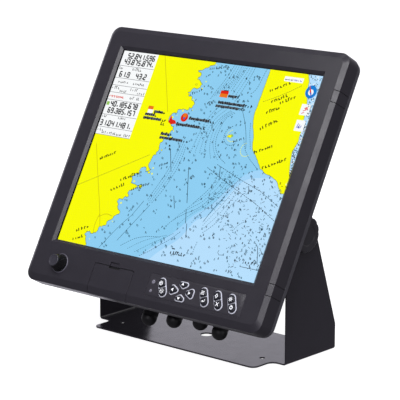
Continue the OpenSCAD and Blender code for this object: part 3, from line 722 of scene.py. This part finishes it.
# ---------------------------------------------------------------- tuning knob
def build_knob():
    base_w, front_w, base_r, front_r = -6.6, -19.5, 11.0, 8.4
    tall = base_w - front_w
    bore_r, bore_w, shaft_r = 8.0, -9.5, 3.05
    bm = bmesh.new()
    rings = [circle_ring(KNOB, bore_r, base_w), circle_ring(KNOB, 10.7, base_w)]
    for k in range(7):
        share = k / 6
        radius = base_r + (front_r - base_r) * share
        rings.append(circle_ring(KNOB, radius, base_w - 0.3 - (tall - 1.3) * share, ribs=24,
                                 depth=0.75 if k < 6 else 0.4))
    crown = ((front_r - 0.25, 0.55), (front_r - 0.75, 0.1), (front_r - 1.3, 0), (front_r - 1.7, 0.25), (4, 0.45),
             (1, 0.5))
    rings += [circle_ring(KNOB, radius, front_w + behind) for radius, behind in crown]
    loft(bm, rings, cap_start=False)
    # The hollow underside that clears the nut.
    hollow = ((bore_r, base_w), (bore_r, bore_w), (shaft_r, bore_w))
    loft(bm, [circle_ring(KNOB, radius, w) for radius, w in hollow], cap_start=False)
    bmesh.ops.remove_doubles(bm, verts=bm.verts, dist=1e-4)
    # The front crown takes the painted light finish.
    for face in bm.faces:
        if face.calc_center_median().y < front_w + 0.56:
            face.material_index = 1
    finish(to_object("tuning_knob_grip", bm), "knob", "tuning_knob", "knob", "knob_front_painted_light", sharp=50)


def build_collar():
    """The flat ring under the knob, with a painted highlight in lighter grey on its outer edge."""
    bm = bmesh.new()
    profile = ((7.5, FACE_W), (7.5, FACE_W - 1.1), (7.9, FACE_W - 1.2), (12.3, FACE_W - 1.2), (12.75, FACE_W - 1.0),
               (13.0, FACE_W - 0.6), (13.0, FACE_W))
    rings = [circle_ring(KNOB, r, w, 96) for r, w in profile]
    loft(bm, rings + [rings[0]], False, False)
    bmesh.ops.remove_doubles(bm, verts=bm.verts, dist=1e-4)
    # The outer edge beyond 12.4 mm takes the painted highlight.
    for face in bm.faces:
        spot = face.calc_center_median()
        if math.hypot(spot.x - KNOB[0], spot.z - KNOB[1]) > 12.4:
            face.material_index = 1
    finish(to_object("knob_collar_ring", bm), "head", "knob_collar", "collar", "collar_rim_painted_highlight", sharp=35)


# ---------------------------------------------------------------- clamp knobs
def build_clamp(side, node, body):
    """A fluted hand knob with a dished cap, on the tilt axis."""
    low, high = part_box(node)
    inner = (low.x if side > 0 else high.x) / MM
    thick = (high.x - low.x) / MM
    radius = (high.z - low.z) / 2 / MM + 0.1
    flutes = 12
    # Each ring: its radius, its distance from the inner face and the depth of its flutes.
    profile = (
        (4.3, 0, 0), (16, 0, 0), (16, 1.4, 0), (radius - 1.2, 1.5, 0.9), (radius - 0.4, 1.9, 1.1),
        (radius, 2.6, 1.2), (radius, thick - 1.9, 1.2), (radius - 0.25, thick - 1.0, 1.1),
        (radius - 0.8, thick - 0.35, 0.9), (radius - 1.6, thick - 0.06, 0.6), (radius - 3.0, thick, 0),
        (14.5, thick, 0), (14.0, thick - 0.2, 0), (13.6, thick - 0.7, 0), (12.9, thick - 0.8, 0),
        (6, thick - 0.7, 0), (1, thick - 0.65, 0))
    rings = []
    for r, out, depth in profile:
        dips = [(a, depth * max(0.0, math.cos(flutes * a)) ** 1.5) for a in angles(144)]
        rings.append([(inner + side * out, *polar((0, 0), r - dip, a)) for a, dip in dips])
    place = Matrix.Translation(Vector((0, PIVOT.y, PIVOT.z))) @ Matrix.Scale(MM, 4)
    finish(made(node + "_grip", loft, rings, place=place), body, node, "clamp", sharp=40)


# ---------------------------------------------------------------- connector caps
def build_caps():
    parts = []
    top = HOUSING_BOTTOM - 4
    for u, tip in CONNECTORS:
        def ring(radius, v, ribs=0, depth=0.0):
            ringed = circle_ring((u, CONNECTOR_W), radius, v, 96, ribs, depth)
            return [(x, y, z) for x, z, y in ringed]
        radius = CONNECTOR_R
        dome = [ring(radius * math.cos(math.radians(t)), tip - radius * math.sin(math.radians(t)))
                for t in (85, 70, 55, 40, 25, 12)]
        knurl = [ring(radius, tip), ring(radius, tip + 3), ring(radius - 0.5, tip + 3.6), ring(radius, tip + 4.2),
                 ring(radius, tip + 5, 24, 0.5), ring(radius, top - 1.5, 24, 0.5), ring(radius, top - 0.8),
                 ring(radius - 0.6, top), ring(8.6, top)]
        parts.append(made("cap", loft, dome + knurl))
    finish(join("connector_caps_set", parts), "head", "connector_caps", "moulding", sharp=40)


# ---------------------------------------------------------------- the chart on the screen
# Each layer of the picture: its display colour and its depth w behind the glass, from the back to the front.
PICTURE = {
    "sea": ((146, 209, 244), 1.22), "shelf": ((166, 216, 251), 1.18), "shoal": ((187, 226, 255), 1.14),
    "land": ((254, 254, 10), 1.10), "contour": ((40, 84, 104), 1.04), "track": ((196, 186, 20), 1.02),
    "coast": ((40, 62, 40), 1.0), "paper": ((254, 254, 254), 0.96), "slate": ((92, 100, 108), 0.94),
    "rule": ((120, 120, 124), 0.93), "green": ((150, 200, 90), 0.92), "ink": ((8, 10, 14), 0.9),
    "pink": ((238, 150, 140), 0.88), "red": ((226, 40, 24), 0.86), "orange": ((240, 120, 30), 0.84),
    "blue": ((24, 128, 214), 0.82), "violet": ((86, 90, 190), 0.8),
}
STACK = {key: bmesh.new() for key in PICTURE}


def clipped(points):
    """A polygon cut to the picture's rectangle."""
    for axis, limit, sign in ((0, HALF_W, 1), (0, HALF_W, -1), (1, HALF_H, 1), (1, HALF_H, -1)):
        kept = []
        for a, b in zip(points, points[1:] + points[:1]):
            da, db = limit - sign * a[axis], limit - sign * b[axis]
            if da >= 0:
                kept.append(a)
            if da * db < 0:
                t = da / (da - db)
                kept.append((a[0] + (b[0] - a[0]) * t, a[1] + (b[1] - a[1]) * t))
        points = kept
        if not points:
            break
    return points


def patch(layer, points, lift=0.0):
    """One flat patch of the picture."""
    points = clipped([tuple(p) for p in points])
    if len(points) < 3:
        return
    bm = STACK[layer]
    depth = PICTURE[layer][1] - lift
    verts = [bm.verts.new((p[0], depth, p[1])) for p in points]
    if len(points) <= 4:
        bm.faces.new(verts)
        return
    for a, b, c in tessellate_polygon([[Vector((p[0], p[1], 0)) for p in points]]):
        bm.faces.new((verts[a], verts[b], verts[c]))


def stroke(layer, a, b, width, lift=0.0):
    a, b = Vector(a), Vector(b)
    if (b - a).length < 1e-6:
        return
    side = Vector((-(b - a).y, (b - a).x)).normalized() * width / 2
    patch(layer, [a - side, b - side, b + side, a + side], lift)


def along(points, spacing):
    """Points at even steps along a line through the given ones."""
    result, carry = [Vector(points[0])], 0.0
    for a, b in zip(points, points[1:]):
        a, b = Vector(a), Vector(b)
        length = (b - a).length
        place = spacing - carry
        while place <= length:
            result.append(a.lerp(b, place / length))
            place += spacing
        carry = (carry + length) % spacing
    return result


def smooth(points, rounds=3):
    """Corner-cut curve through given points, with its ends kept."""
    for _ in range(rounds):
        points = [points[0]] + [((a[0] * s + b[0] * (1 - s)), (a[1] * s + b[1] * (1 - s)))
                                for a, b in zip(points, points[1:]) for s in (0.75, 0.25)] + [points[-1]]
    return points


def rough_line(points, size, rounds=4):
    """A coast: each span is split again and again, and each new point is pushed aside by less."""
    for _ in range(rounds):
        new = [points[0]]
        for a, b in zip(points, points[1:]):
            length = math.hypot(b[0] - a[0], b[1] - a[1])
            push = random.uniform(-size, size) * min(1.0, length / 6)
            nx, ny = -(b[1] - a[1]) / (length or 1), (b[0] - a[0]) / (length or 1)
            new += [((a[0] + b[0]) / 2 + nx * push, (a[1] + b[1]) / 2 + ny * push), b]
        points, size = new, size * 0.55
    return points


def between(first, second, share=0.5, count=16):
    """A line that runs part of the way from one line to another."""
    ends = []
    for points in (first, second):
        length = sum((Vector(b) - Vector(a)).length for a, b in zip(points, points[1:]))
        ends.append(along(points, length / (count + 0.01))[:count + 1])
    return [a.lerp(b, share) for a, b in zip(*ends)]


def dotted(layer, points, width, dash, gap):
    spots = along(points, dash + gap)
    for a, b in zip(spots, spots[1:]):
        stroke(layer, a, a.lerp(b, dash / (dash + gap)), width)


def line(layer, points, width):
    for a, b in zip(points, points[1:]):
        stroke(layer, a, b, width)


def disc(layer, centre, radius, count=28, lift=0.0):
    patch(layer, [polar(centre, radius, a) for a in angles(count)], lift)


def rectangle(layer, u, v, lift=0.0):
    patch(layer, [(u[0], v[0]), (u[1], v[0]), (u[1], v[1]), (u[0], v[1])], lift)


SEGMENTS = {"a": ((0, 1), (1, 1)), "b": ((1, 1), (1, 0.5)), "c": ((1, 0.5), (1, 0)), "d": ((0, 0), (1, 0)),
            "e": ((0, 0), (0, 0.5)), "f": ((0, 0.5), (0, 1)), "g": ((0, 0.5), (1, 0.5))}
DIGITS = ("abcdef", "bc", "abged", "abgcd", "fgbc", "afgcd", "afgedc", "abc", "abcdefg", "abcdfg")


def digit(layer, place, number, height, weight):
    """One figure in plain segments."""
    wide = height * 0.52
    for key in DIGITS[number]:
        (x0, y0), (x1, y1) = SEGMENTS[key]
        a = (place[0] + x0 * wide, place[1] + y0 * height)
        b = (place[0] + x1 * wide, place[1] + y1 * height)
        stroke(layer, a, b, weight)


def figures(layer, u0, u1, v, height, weight, gap=0.34):
    """A row of figures that fills a stretch, with points between groups."""
    step = height * (0.52 + gap)
    u, count = u0, 0
    while u + height * 0.52 <= u1:
        count += 1
        if count % 4 == 3:
            rectangle(layer, (u, u + weight * 1.2), (v, v + weight * 1.2))
            u += height * 0.35
            continue
        digit(layer, (u, v), random.randrange(10), height, weight)
        u += step


def scribble(layer, start, length, angle, height, weight):
    """A caption too small to read: uneven upright ticks on a slanted line."""
    a = math.radians(angle)
    along_u, up = Vector((math.cos(a), math.sin(a))), Vector((-math.sin(a), math.cos(a)))
    place = 0.0
    while place < length:
        base = Vector(start) + along_u * place
        tall = height * random.choice((0.6, 0.75, 1.0))
        stroke(layer, base, base + up * tall, weight)
        if random.random() < 0.7:
            level = up * tall * random.choice((0.1, 0.5, 0.95))
            stroke(layer, base + level, base + level + along_u * height * 0.5, weight * 0.9)
        place += height * random.choice((0.7, 0.85, 1.1))


WEST_COAST = [(-6, 136), (-12, 130), (-20, 126), (-31, 121), (-24, 114), (-27, 109), (-20, 106), (-18, 100),
              (-28, 97), (-35, 90), (-28, 86), (-22, 80), (-20, 70), (-26, 66), (-40, 66), (-47, 60), (-52, 54),
              (-48, 46), (-40, 42), (-42, 33), (-45, 26), (-52, 14), (-51, 6), (-57, -2), (-58, -10), (-52, -20),
              (-60, -24), (-66, -18), (-70, -28), (-80, -34), (-78, -42), (-60, -41), (-76, -52), (-74, -60),
              (-82, -66), (-90, -70), (-85, -78), (-80, -86), (-92, -96), (-96, -104), (-106, -113), (-113, -118),
              (-124, -116), (-122, -126), (-118, -136)]
EAST_COAST = [(84, 136), (84, 112), (83, 90), (83, 72), (87, 58), (94, 44), (97, 32), (103, 24), (112, 16),
              (120, 6), (128, 2), (140, -1), (150, -5), (158, -14), (164, -21), (170, -20)]
FAR_SHORE = [(171, -4), (166, 8), (162, 22), (160, 34), (164, 48), (163, 62), (160, 84), (157, 100), (152, 114),
             (150, 126), (145, 136)]
CONTOURS = [
    [(26, 136), (18, 112), (10, 98), (4, 84)], [(38, 136), (34, 118), (24, 104), (14, 92)],
    [(48, 136), (42, 120), (36, 106), (33, 98)], [(60, 136), (56, 116), (50, 98), (44, 84)],
    [(79, 136), (75, 114), (72, 104), (64, 98)], [(22, 76), (12, 62), (6, 40), (2, 10)],
    [(44, 74), (30, 62), (22, 46), (22, 24), (26, 8)], [(52, 72), (40, 64), (36, 48), (36, 30), (46, 14), (66, 4)],
    [(-18, 26), (-20, 4), (-24, -18), (-32, -38), (-42, -62)],
    [(-8, 18), (-8, -4), (-14, -26), (-22, -46), (-34, -66)], [(60, -6), (56, -26), (44, -42), (32, -56)],
    [(76, -4), (74, -26), (60, -42), (44, -60), (30, -66), (10, -80), (2, -92)],
    [(96, -8), (86, -26), (76, -44), (66, -60), (60, -76)], [(102, -36), (92, -50), (88, -62), (76, -78), (62, -90)],
    [(30, -92), (16, -106), (4, -114), (-8, -124), (-24, -134)], [(0, -104), (-20, -106), (-40, -112), (-60, -126)],
    [(62, -100), (60, -112), (62, -120)], [(110, -78), (118, -66), (128, -62)], [(114, -98), (108, -102)],
    [(82, 62), (86, 48), (92, 36), (96, 26)], [(80, 40), (86, 28), (96, 18), (108, 10), (118, 4)],
]
SOLID_LINES = [
    [(-58, -84), (-72, -100), (-94, -134)], [(-34, -66), (-54, -98), (-68, -120)],
    [(80, -38), (68, -58), (60, -74)], [(-46, -62), (-58, -84)], [(60, 80), (74, 60), (82, 44), (88, 28)],
]
TRAFFIC_LINES = [[(38, -4), (90, -24), (130, -38), (169, -56)], [(52, 2), (96, -12), (132, -22), (169, -38)]]
LEAD_LINES = [[(8, -8), (25, -54)], [(27, -62), (34, -80)], [(0, -48), (8, -64)], [(-32, 12), (-18, -18)],
              [(58, 0), (62, -14)], [(112, -18), (116, -28)], [(36, -80), (42, -98)], [(156, -90), (164, -112)]]
LAND_DOTS = [[(-168, -58), (-120, -32), (-60, 1)], [(90, 92), (116, 104), (142, 120)]]
LAND_LINES = [[(-96, 136), (-80, 104), (-58, 60)], [(-161, 2), (-140, -38), (-112, -90), (-105, -106)],
              [(-112, -90), (-115, -104), (-112, -118)], [(-112, -94), (-102, -88), (-90, -90)]]


# Neighbouring contours that have two finer lines between them.
NEIGHBOURS = ((0, 1), (1, 2), (2, 3), (5, 6), (6, 7), (8, 9), (10, 11), (11, 12), (12, 13), (14, 15))
ISLANDS = (((-54, -24), 2.2), ((-60, -44), 3.2), ((-46, 8), 1.4), ((57, 41), 3.6), ((-26, 102), 1.8))
ISLETS, FAR_MARKS, SOUNDINGS, SHALLOW_MARKS = 26, 260, 520, 300


def draw_water():
    """Deep water, and paler water on the shelf and over the shoals."""
    rectangle("sea", (-HALF_W, HALF_W), (-HALF_H, HALF_H))
    patch("shelf", smooth([(170, 6), (110, 6), (84, -22), (64, -52), (40, -68), (30, -84), (10, -104), (-26, -136)])
          + [(170, -136)])
    patch("shoal", smooth([(170, -2), (130, -4), (102, -10), (88, -30), (66, -66), (48, -72), (40, -88), (30, -104),
                           (8, -120), (-6, -136)]) + [(170, -136)])
    patch("shoal", FAR_SHORE + [(170, 136)])


def draw_land():
    """Both coasts, the far shore and the islands. Gives the line of the west coast."""
    west = rough_line(WEST_COAST, 3.4)
    east = rough_line(EAST_COAST, 0.8)
    patch("land", west + [(-170, -136), (-170, 136)])
    patch("land", east + rough_line(FAR_SHORE, 0.7))
    line("coast", west, 0.6)
    line("coast", east, 0.5)
    line("coast", FAR_SHORE, 0.5)
    for _ in range(ISLETS):
        u, v = random.choice(west)
        disc("land", (u + random.uniform(0, 9), v + random.uniform(-3, 3)), random.uniform(0.6, 1.7), 7, 0.004)
    for _ in range(FAR_MARKS):
        v = random.uniform(-12, 134)
        shore = min(FAR_SHORE, key=lambda p: abs(p[1] - v))[0]
        u = random.uniform(shore + 1.5, 168)
        stroke(random.choice(("ink", "paper", "contour")), (u, v), (u + random.uniform(-2, 2), v + 1.5), 0.8)
    for centre, radius in ISLANDS:
        island = [(centre[0] + radius * random.uniform(0.7, 1.3) * math.cos(a),
                   centre[1] + radius * random.uniform(0.5, 0.9) * math.sin(a)) for a in angles(14)]
        patch("land", island, 0.005)
        line("coast", island + island[:1], 0.35)
    return west


def draw_lines():
    """Depth contours, range rings, traffic lines, leading lines, and the tracks on land."""
    for points in CONTOURS:
        dotted("contour", smooth(points), 0.7, 1.9, 1.2)
    for first, second in NEIGHBOURS:
        for share in (0.33, 0.67):
            dotted("contour", between(smooth(CONTOURS[first]), smooth(CONTOURS[second]), share), 0.55, 1.6, 1.3)
    for points in SOLID_LINES:
        line("contour", smooth(points, 2), 0.6)
    for centre, radius in (((60, 42), 8), ((60, 42), 13), ((89, 27), 9)):
        arc = [polar(centre, radius, a) for a in angles(30)[9:28]]
        dotted("land" if radius < 12 else "contour", arc, 0.9, 1.6, 1.2)
    for points in TRAFFIC_LINES:
        dotted("ink", points, 0.7, 2.6, 1.2)
    for points in LEAD_LINES:
        line("ink", points, 0.8)
    for points in LAND_DOTS:
        dotted("coast", smooth(points, 2), 0.65, 1.8, 1.0)
    for points in LAND_LINES:
        line("track", smooth(points, 1), 0.8)


def draw_soundings(west):
    """Depth figures scattered over the sea, closer together in the shallows."""
    placed = 0
    while placed < SOUNDINGS:
        u, v = random.uniform(-118, 166), random.uniform(-133, 133)
        shallow = u - 60 > v * -0.2 and v < -6
        if not shallow and random.random() < 0.45:
            continue
        shore = min(west, key=lambda p: abs(p[1] - v))[0]
        if u < shore + 5 or (u > 78 - max(0, v) * 0.05 and v > 4 - (u - 120) * 0.3):
            continue
        placed += 1
        figure = random.randrange(10)
        layer = "ink" if random.random() < 0.45 else "contour"
        digit(layer, (u, v), figure, 2.2, 0.55)
        if figure % 2:
            digit(layer, (u + 1.9, v - 0.4), random.randrange(10), 1.8, 0.5)
    for _ in range(SHALLOW_MARKS):
        u, v = random.uniform(10, 166), random.uniform(-132, -10)
        if u > 70 - (v + 60) * 0.8:
            stroke(random.choice(("ink", "contour", "slate")), (u, v),
                   (u + random.uniform(1, 4.4), v + random.uniform(-2.2, 2.2)), 0.55)


def draw_marks():
    """Captions, vessels and marks near the port."""
    for u, v, length, angle in ((-144, -19, 28, 28), (-96, -42, 34, 27), (-107, -57, 22, 27), (-72, -52, 30, 26),
                                (-141, -120, 20, 26), (-142, -132, 18, 24), (96, 106, 30, 27), (104, 92, 24, 27),
                                (118, 92, 22, 27), (102, 77, 18, 27), (101, 55, 24, 33), (104, 24, 28, 26),
                                (124, 6, 34, 27), (-40, -14, 12, 25), (-30, 86, 20, 28), (0, 76, 14, 28),
                                (-12, 124, 30, 12), (66, 33, 16, 27), (24, 116, 3, 20)):
        on_land = u > 90 or u < -90
        scribble("ink", (u, v), length, angle, 4.3 if on_land else 3.6, 1.35 if on_land else 1.0)
    for u, v, length in ((-80, 56, 18), (-94, 51, 20), (-95, 46, 38), (-18, 54, 42), (-36, 44, 50), (-56, 28, 18),
                         (-56, 23, 48), (33, 91, 16), (20, 81, 54), (18, 76, 46), (26, -122, 26), (146, -114, 14),
                         (-62, 41, 8)):
        if length > 12 and v > -100:
            rectangle("slate", (u - 1, u + length * 0.8), (v + 0.2, v + 3.6))
        scribble("ink", (u, v), length, 0, 4.2, 1.4)
    rectangle("orange", (-93, -84), (60, 64.5))
    rectangle("paper", (-92, -83), (54.5, 60))
    patch("red", [(-50, 57), (-51, 47), (-46, 44), (-37, 46), (-40, 50), (-46, 51)])
    disc("red", (-27, 56), 6, 20)
    disc("orange", (-27, 58.5), 3.2, 16)
    disc("violet", (-27, 55), 1.6, 12)
    rectangle("red", (18, 31), (94, 99))
    rectangle("orange", (18, 31), (90, 95))
    rectangle("ink", (22, 30), (98, 100))
    disc("green", (60, 42), 1.8, 12)
    rectangle("paper", (111, 141), (122.5, 129))
    scribble("ink", (113, 124), 14, 0, 2.6, 0.8)
    scribble("violet", (127, 124), 12, 0, 2.6, 0.8)
    line("ink", [(139.5, -117), (139.5, -119), (168, -119)], 0.6)
    line("ink", [(100, -104.5), (99, -107.5), (102, -110.5), (109, -109.5)], 0.5)
    rectangle("ink", (26, 31), (-115.6, -114.2))


def draw_information():
    """The white data window at the top left, with rows of figures."""
    u0, u1 = -169, -106.5
    rectangle("paper", (u0, u1), (15.5, 135.2))
    for v in (113.8, 96.4, 85.8, 75.6, 65.0, 43.8, 26.2, 15.5):
        rectangle("rule", (u0, u1), (v - 0.25, v + 0.35))
    rows = ((-159, -108, 125.4, 6.6), (-162, -108, 116.8, 6.6), (-163, -144, 98.6, 6.8), (-133, -110, 98.6, 6.8),
            (-160, -109, 56.4, 6.6), (-161, -109, 47.0, 6.6), (-167, -109, 28.6, 7.0))
    for start, stop, v, height in rows:
        figures("ink", start, stop, v, height, 1.6)
    small = ((-167, -158, 108.8), (-143, -128, 108.8), (-160, -142, 89.6), (-133, -112, 89.6), (-167, -154, 80.6),
             (-134, -122, 80.6), (-152, -140, 77.0), (-120, -108, 77.0), (-130, -124, 69.2), (-118, -112, 69.2),
             (-167, -160, 39.6), (-138, -126, 39.6), (-167, -158, 20.6), (-158, -140, 17.4), (-138, -122, 17.4),
             (-118, -108, 17.4))
    for start, stop, v in small:
        scribble("ink", (start, v), stop - start, 0, 3.6, 0.9)
    scribble("red", (-167, 68.6), 26, 0, 3.8, 0.9)
    rectangle("pink", (-167, -142), (70.2, 71.0))
    rectangle("green", (-168, -163), (57, 62))


def draw_icons():
    """The round compass button and two square buttons at the right edge."""
    disc("blue", (158, 113), 8.6, 36)
    disc("paper", (158, 112.4), 4.0, 24, 0.18)
    patch("red", [(153, 122), (158.8, 112.6), (156.6, 111.6)], 0.12)
    patch("violet", [(162.4, 104), (158.8, 112.6), (156.6, 111.6)], 0.12)
    rectangle("paper", (151, 165), (82, 96.5), 0.05)
    rectangle("paper", (151, 165), (61, 75.5), 0.05)
    for k in range(3):
        line("red", [(154 + k * 1.2, 84 + k * 3.4), (158 + k * 1.6, 86 + k * 3.2)], 0.9)
        line("violet", [(154 + k * 2.6, 65), (155.4 + k * 2.6, 71 - k * 1.2)], 0.9)
    disc("pink", (159.6, 91), 2.2, 14)
    disc("violet", (157, 66), 1.5, 12)


def build_chart():
    """Draws every layer, from the water up, and makes one flat piece of each."""
    draw_water()
    west = draw_land()
    draw_lines()
    draw_soundings(west)
    draw_marks()
    draw_information()
    draw_icons()
    for key, bm in STACK.items():
        for face in bm.faces:
            if face.normal.y > 0:
                face.normal_flip()
        name = "picture_" + key
        obj = placed(name, bm)
        M[name] = lit(name, srgb(*PICTURE[key][0]), 0.01 if key == "land" else 0.02)
        obj.data.materials.append(M[name])
        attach(obj, "head")


# ---------------------------------------------------------------- assembly
def build_refined():
    """CAD pieces whose shape is right, given softened edges."""
    refined("bracket", "mount", 0.35)
    for node, width in (("rear_cover", 0.7), ("rear_housing", 0.6), ("heat_sink", 0.4), ("cover_screws", 0.3),
                        ("housing_screws", 0.3), ("rear_connectors", 0.3), ("card_bay", 0.2)):
        refined(node, "head", width)


build_bezel()
build_clips()
build_door()
build_panel()
build_rims()
build_keys()
build_lamps()
build_knob()
build_collar()
build_clamp(1, "right_clamp_knob", "right_clamp")
build_clamp(-1, "left_clamp_knob", "left_clamp")
build_caps()
build_refined()
build_chart()


# ---------------------------------------------------------------- floor, light and camera
def build_stage():
    bm = bmesh.new()
    half = 6
    corners = ((-half, -half, 0), (half, -half, 0), (half, half, 0), (-half, half, 0))
    bm.faces.new([bm.verts.new(p) for p in corners])
    floor = to_object("floor", bm, Matrix.Identity(4))
    n = Nodes("floor_pale")
    n.set(Base_Color=n.ramp(n.noise(3, 2), [(0.3, (0.6, 0.6, 0.6)), (0.7, (0.64, 0.64, 0.64))]), Roughness=0.9,
          Specular_IOR_Level=0.0, Emission_Color=(1, 1, 1, 1), Emission_Strength=0.84)
    floor.data.materials.append(n.mat)
    floor.visible_glossy = False
    floor.visible_diffuse = False


def softbox(name, place, target, size, power):
    """A rectangular area light that faces its target."""
    light = bpy.data.lights.new(name, "AREA")
    light.shape = "RECTANGLE"
    light.size, light.size_y = size
    light.energy = power
    obj = bpy.data.objects.new(name, light)
    obj.location = place
    obj.rotation_euler = (Vector(target) - Vector(place)).to_track_quat("-Z", "Y").to_euler()
    bpy.context.scene.collection.objects.link(obj)


# Bright parts of the room: direction, cosine where each starts, cosine where it is full, and strength.
GLOW = (((-0.67, 0.72, -0.155), 0.78, 0.93, 1.0), ((0.37, -0.72, 0.585), 0.80, 0.97, 1.2))
WORLD_BASE = 0.16
WORLD_COLOUR = (1.03, 1.0, 1.12, 1)


def build_world():
    """White to the camera; to the object a dim room with a bright cove behind it and a bright card in front."""
    world = bpy.data.worlds.new("studio")
    world.use_nodes = True
    t = Tree(world.node_tree)
    direction = t.new("ShaderNodeTexCoord").outputs["Generated"]
    level = WORLD_BASE
    for toward, start, full, strength in GLOW:
        near = t.dot(direction, Vector(toward).normalized())
        level = t.math("ADD", t.spread(near, 0, strength, start, full, "SMOOTHSTEP"), level)
    seen = t.new("ShaderNodeLightPath").outputs["Is Camera Ray"]
    background = t.tree.nodes["Background"]
    t.feed(background.inputs["Color"], WORLD_COLOUR)
    t.feed(background.inputs["Strength"], t.math("MAXIMUM", level, seen))
    bpy.context.scene.world = world


def build_light():
    middle = (0, 0, 0.2)
    softbox("sheen_light", (-0.15, -0.62, 1.02), (0.1, -0.05, 0.3), (0.3, 0.3), 2.4)
    softbox("key_light", (1.3, -1.7, 2.4), middle, (1.5, 1.2), 36)
    softbox("side_light", (2.7, -0.2, 0.5), middle, (1.0, 0.8), 4)
    softbox("top_light", (-0.2, 0.9, 2.4), middle, (1.6, 1.6), 17)
    softbox("rear_light", (1.0, 2.2, 1.7), middle, (1.2, 1.2), 6)


def build_camera():
    camera = bpy.data.cameras.new("camera")
    camera.sensor_width = 36
    camera.lens = 173.5
    camera.clip_end = 50
    azimuth, elevation = math.radians(41.56), math.radians(12.53)
    obj = bpy.data.objects.new("camera", camera)
    obj.location = (1.6110, -1.83803, 0.72473)
    look = Vector((-math.sin(azimuth) * math.cos(elevation), math.cos(azimuth) * math.cos(elevation),
                   -math.sin(elevation)))
    obj.rotation_euler = look.to_track_quat("-Z", "Y").to_euler()
    bpy.context.scene.collection.objects.link(obj)
    bpy.context.scene.camera = obj


build_stage()
build_world()
build_light()
build_camera()
bpy.context.scene.view_settings.view_transform = "Standard"
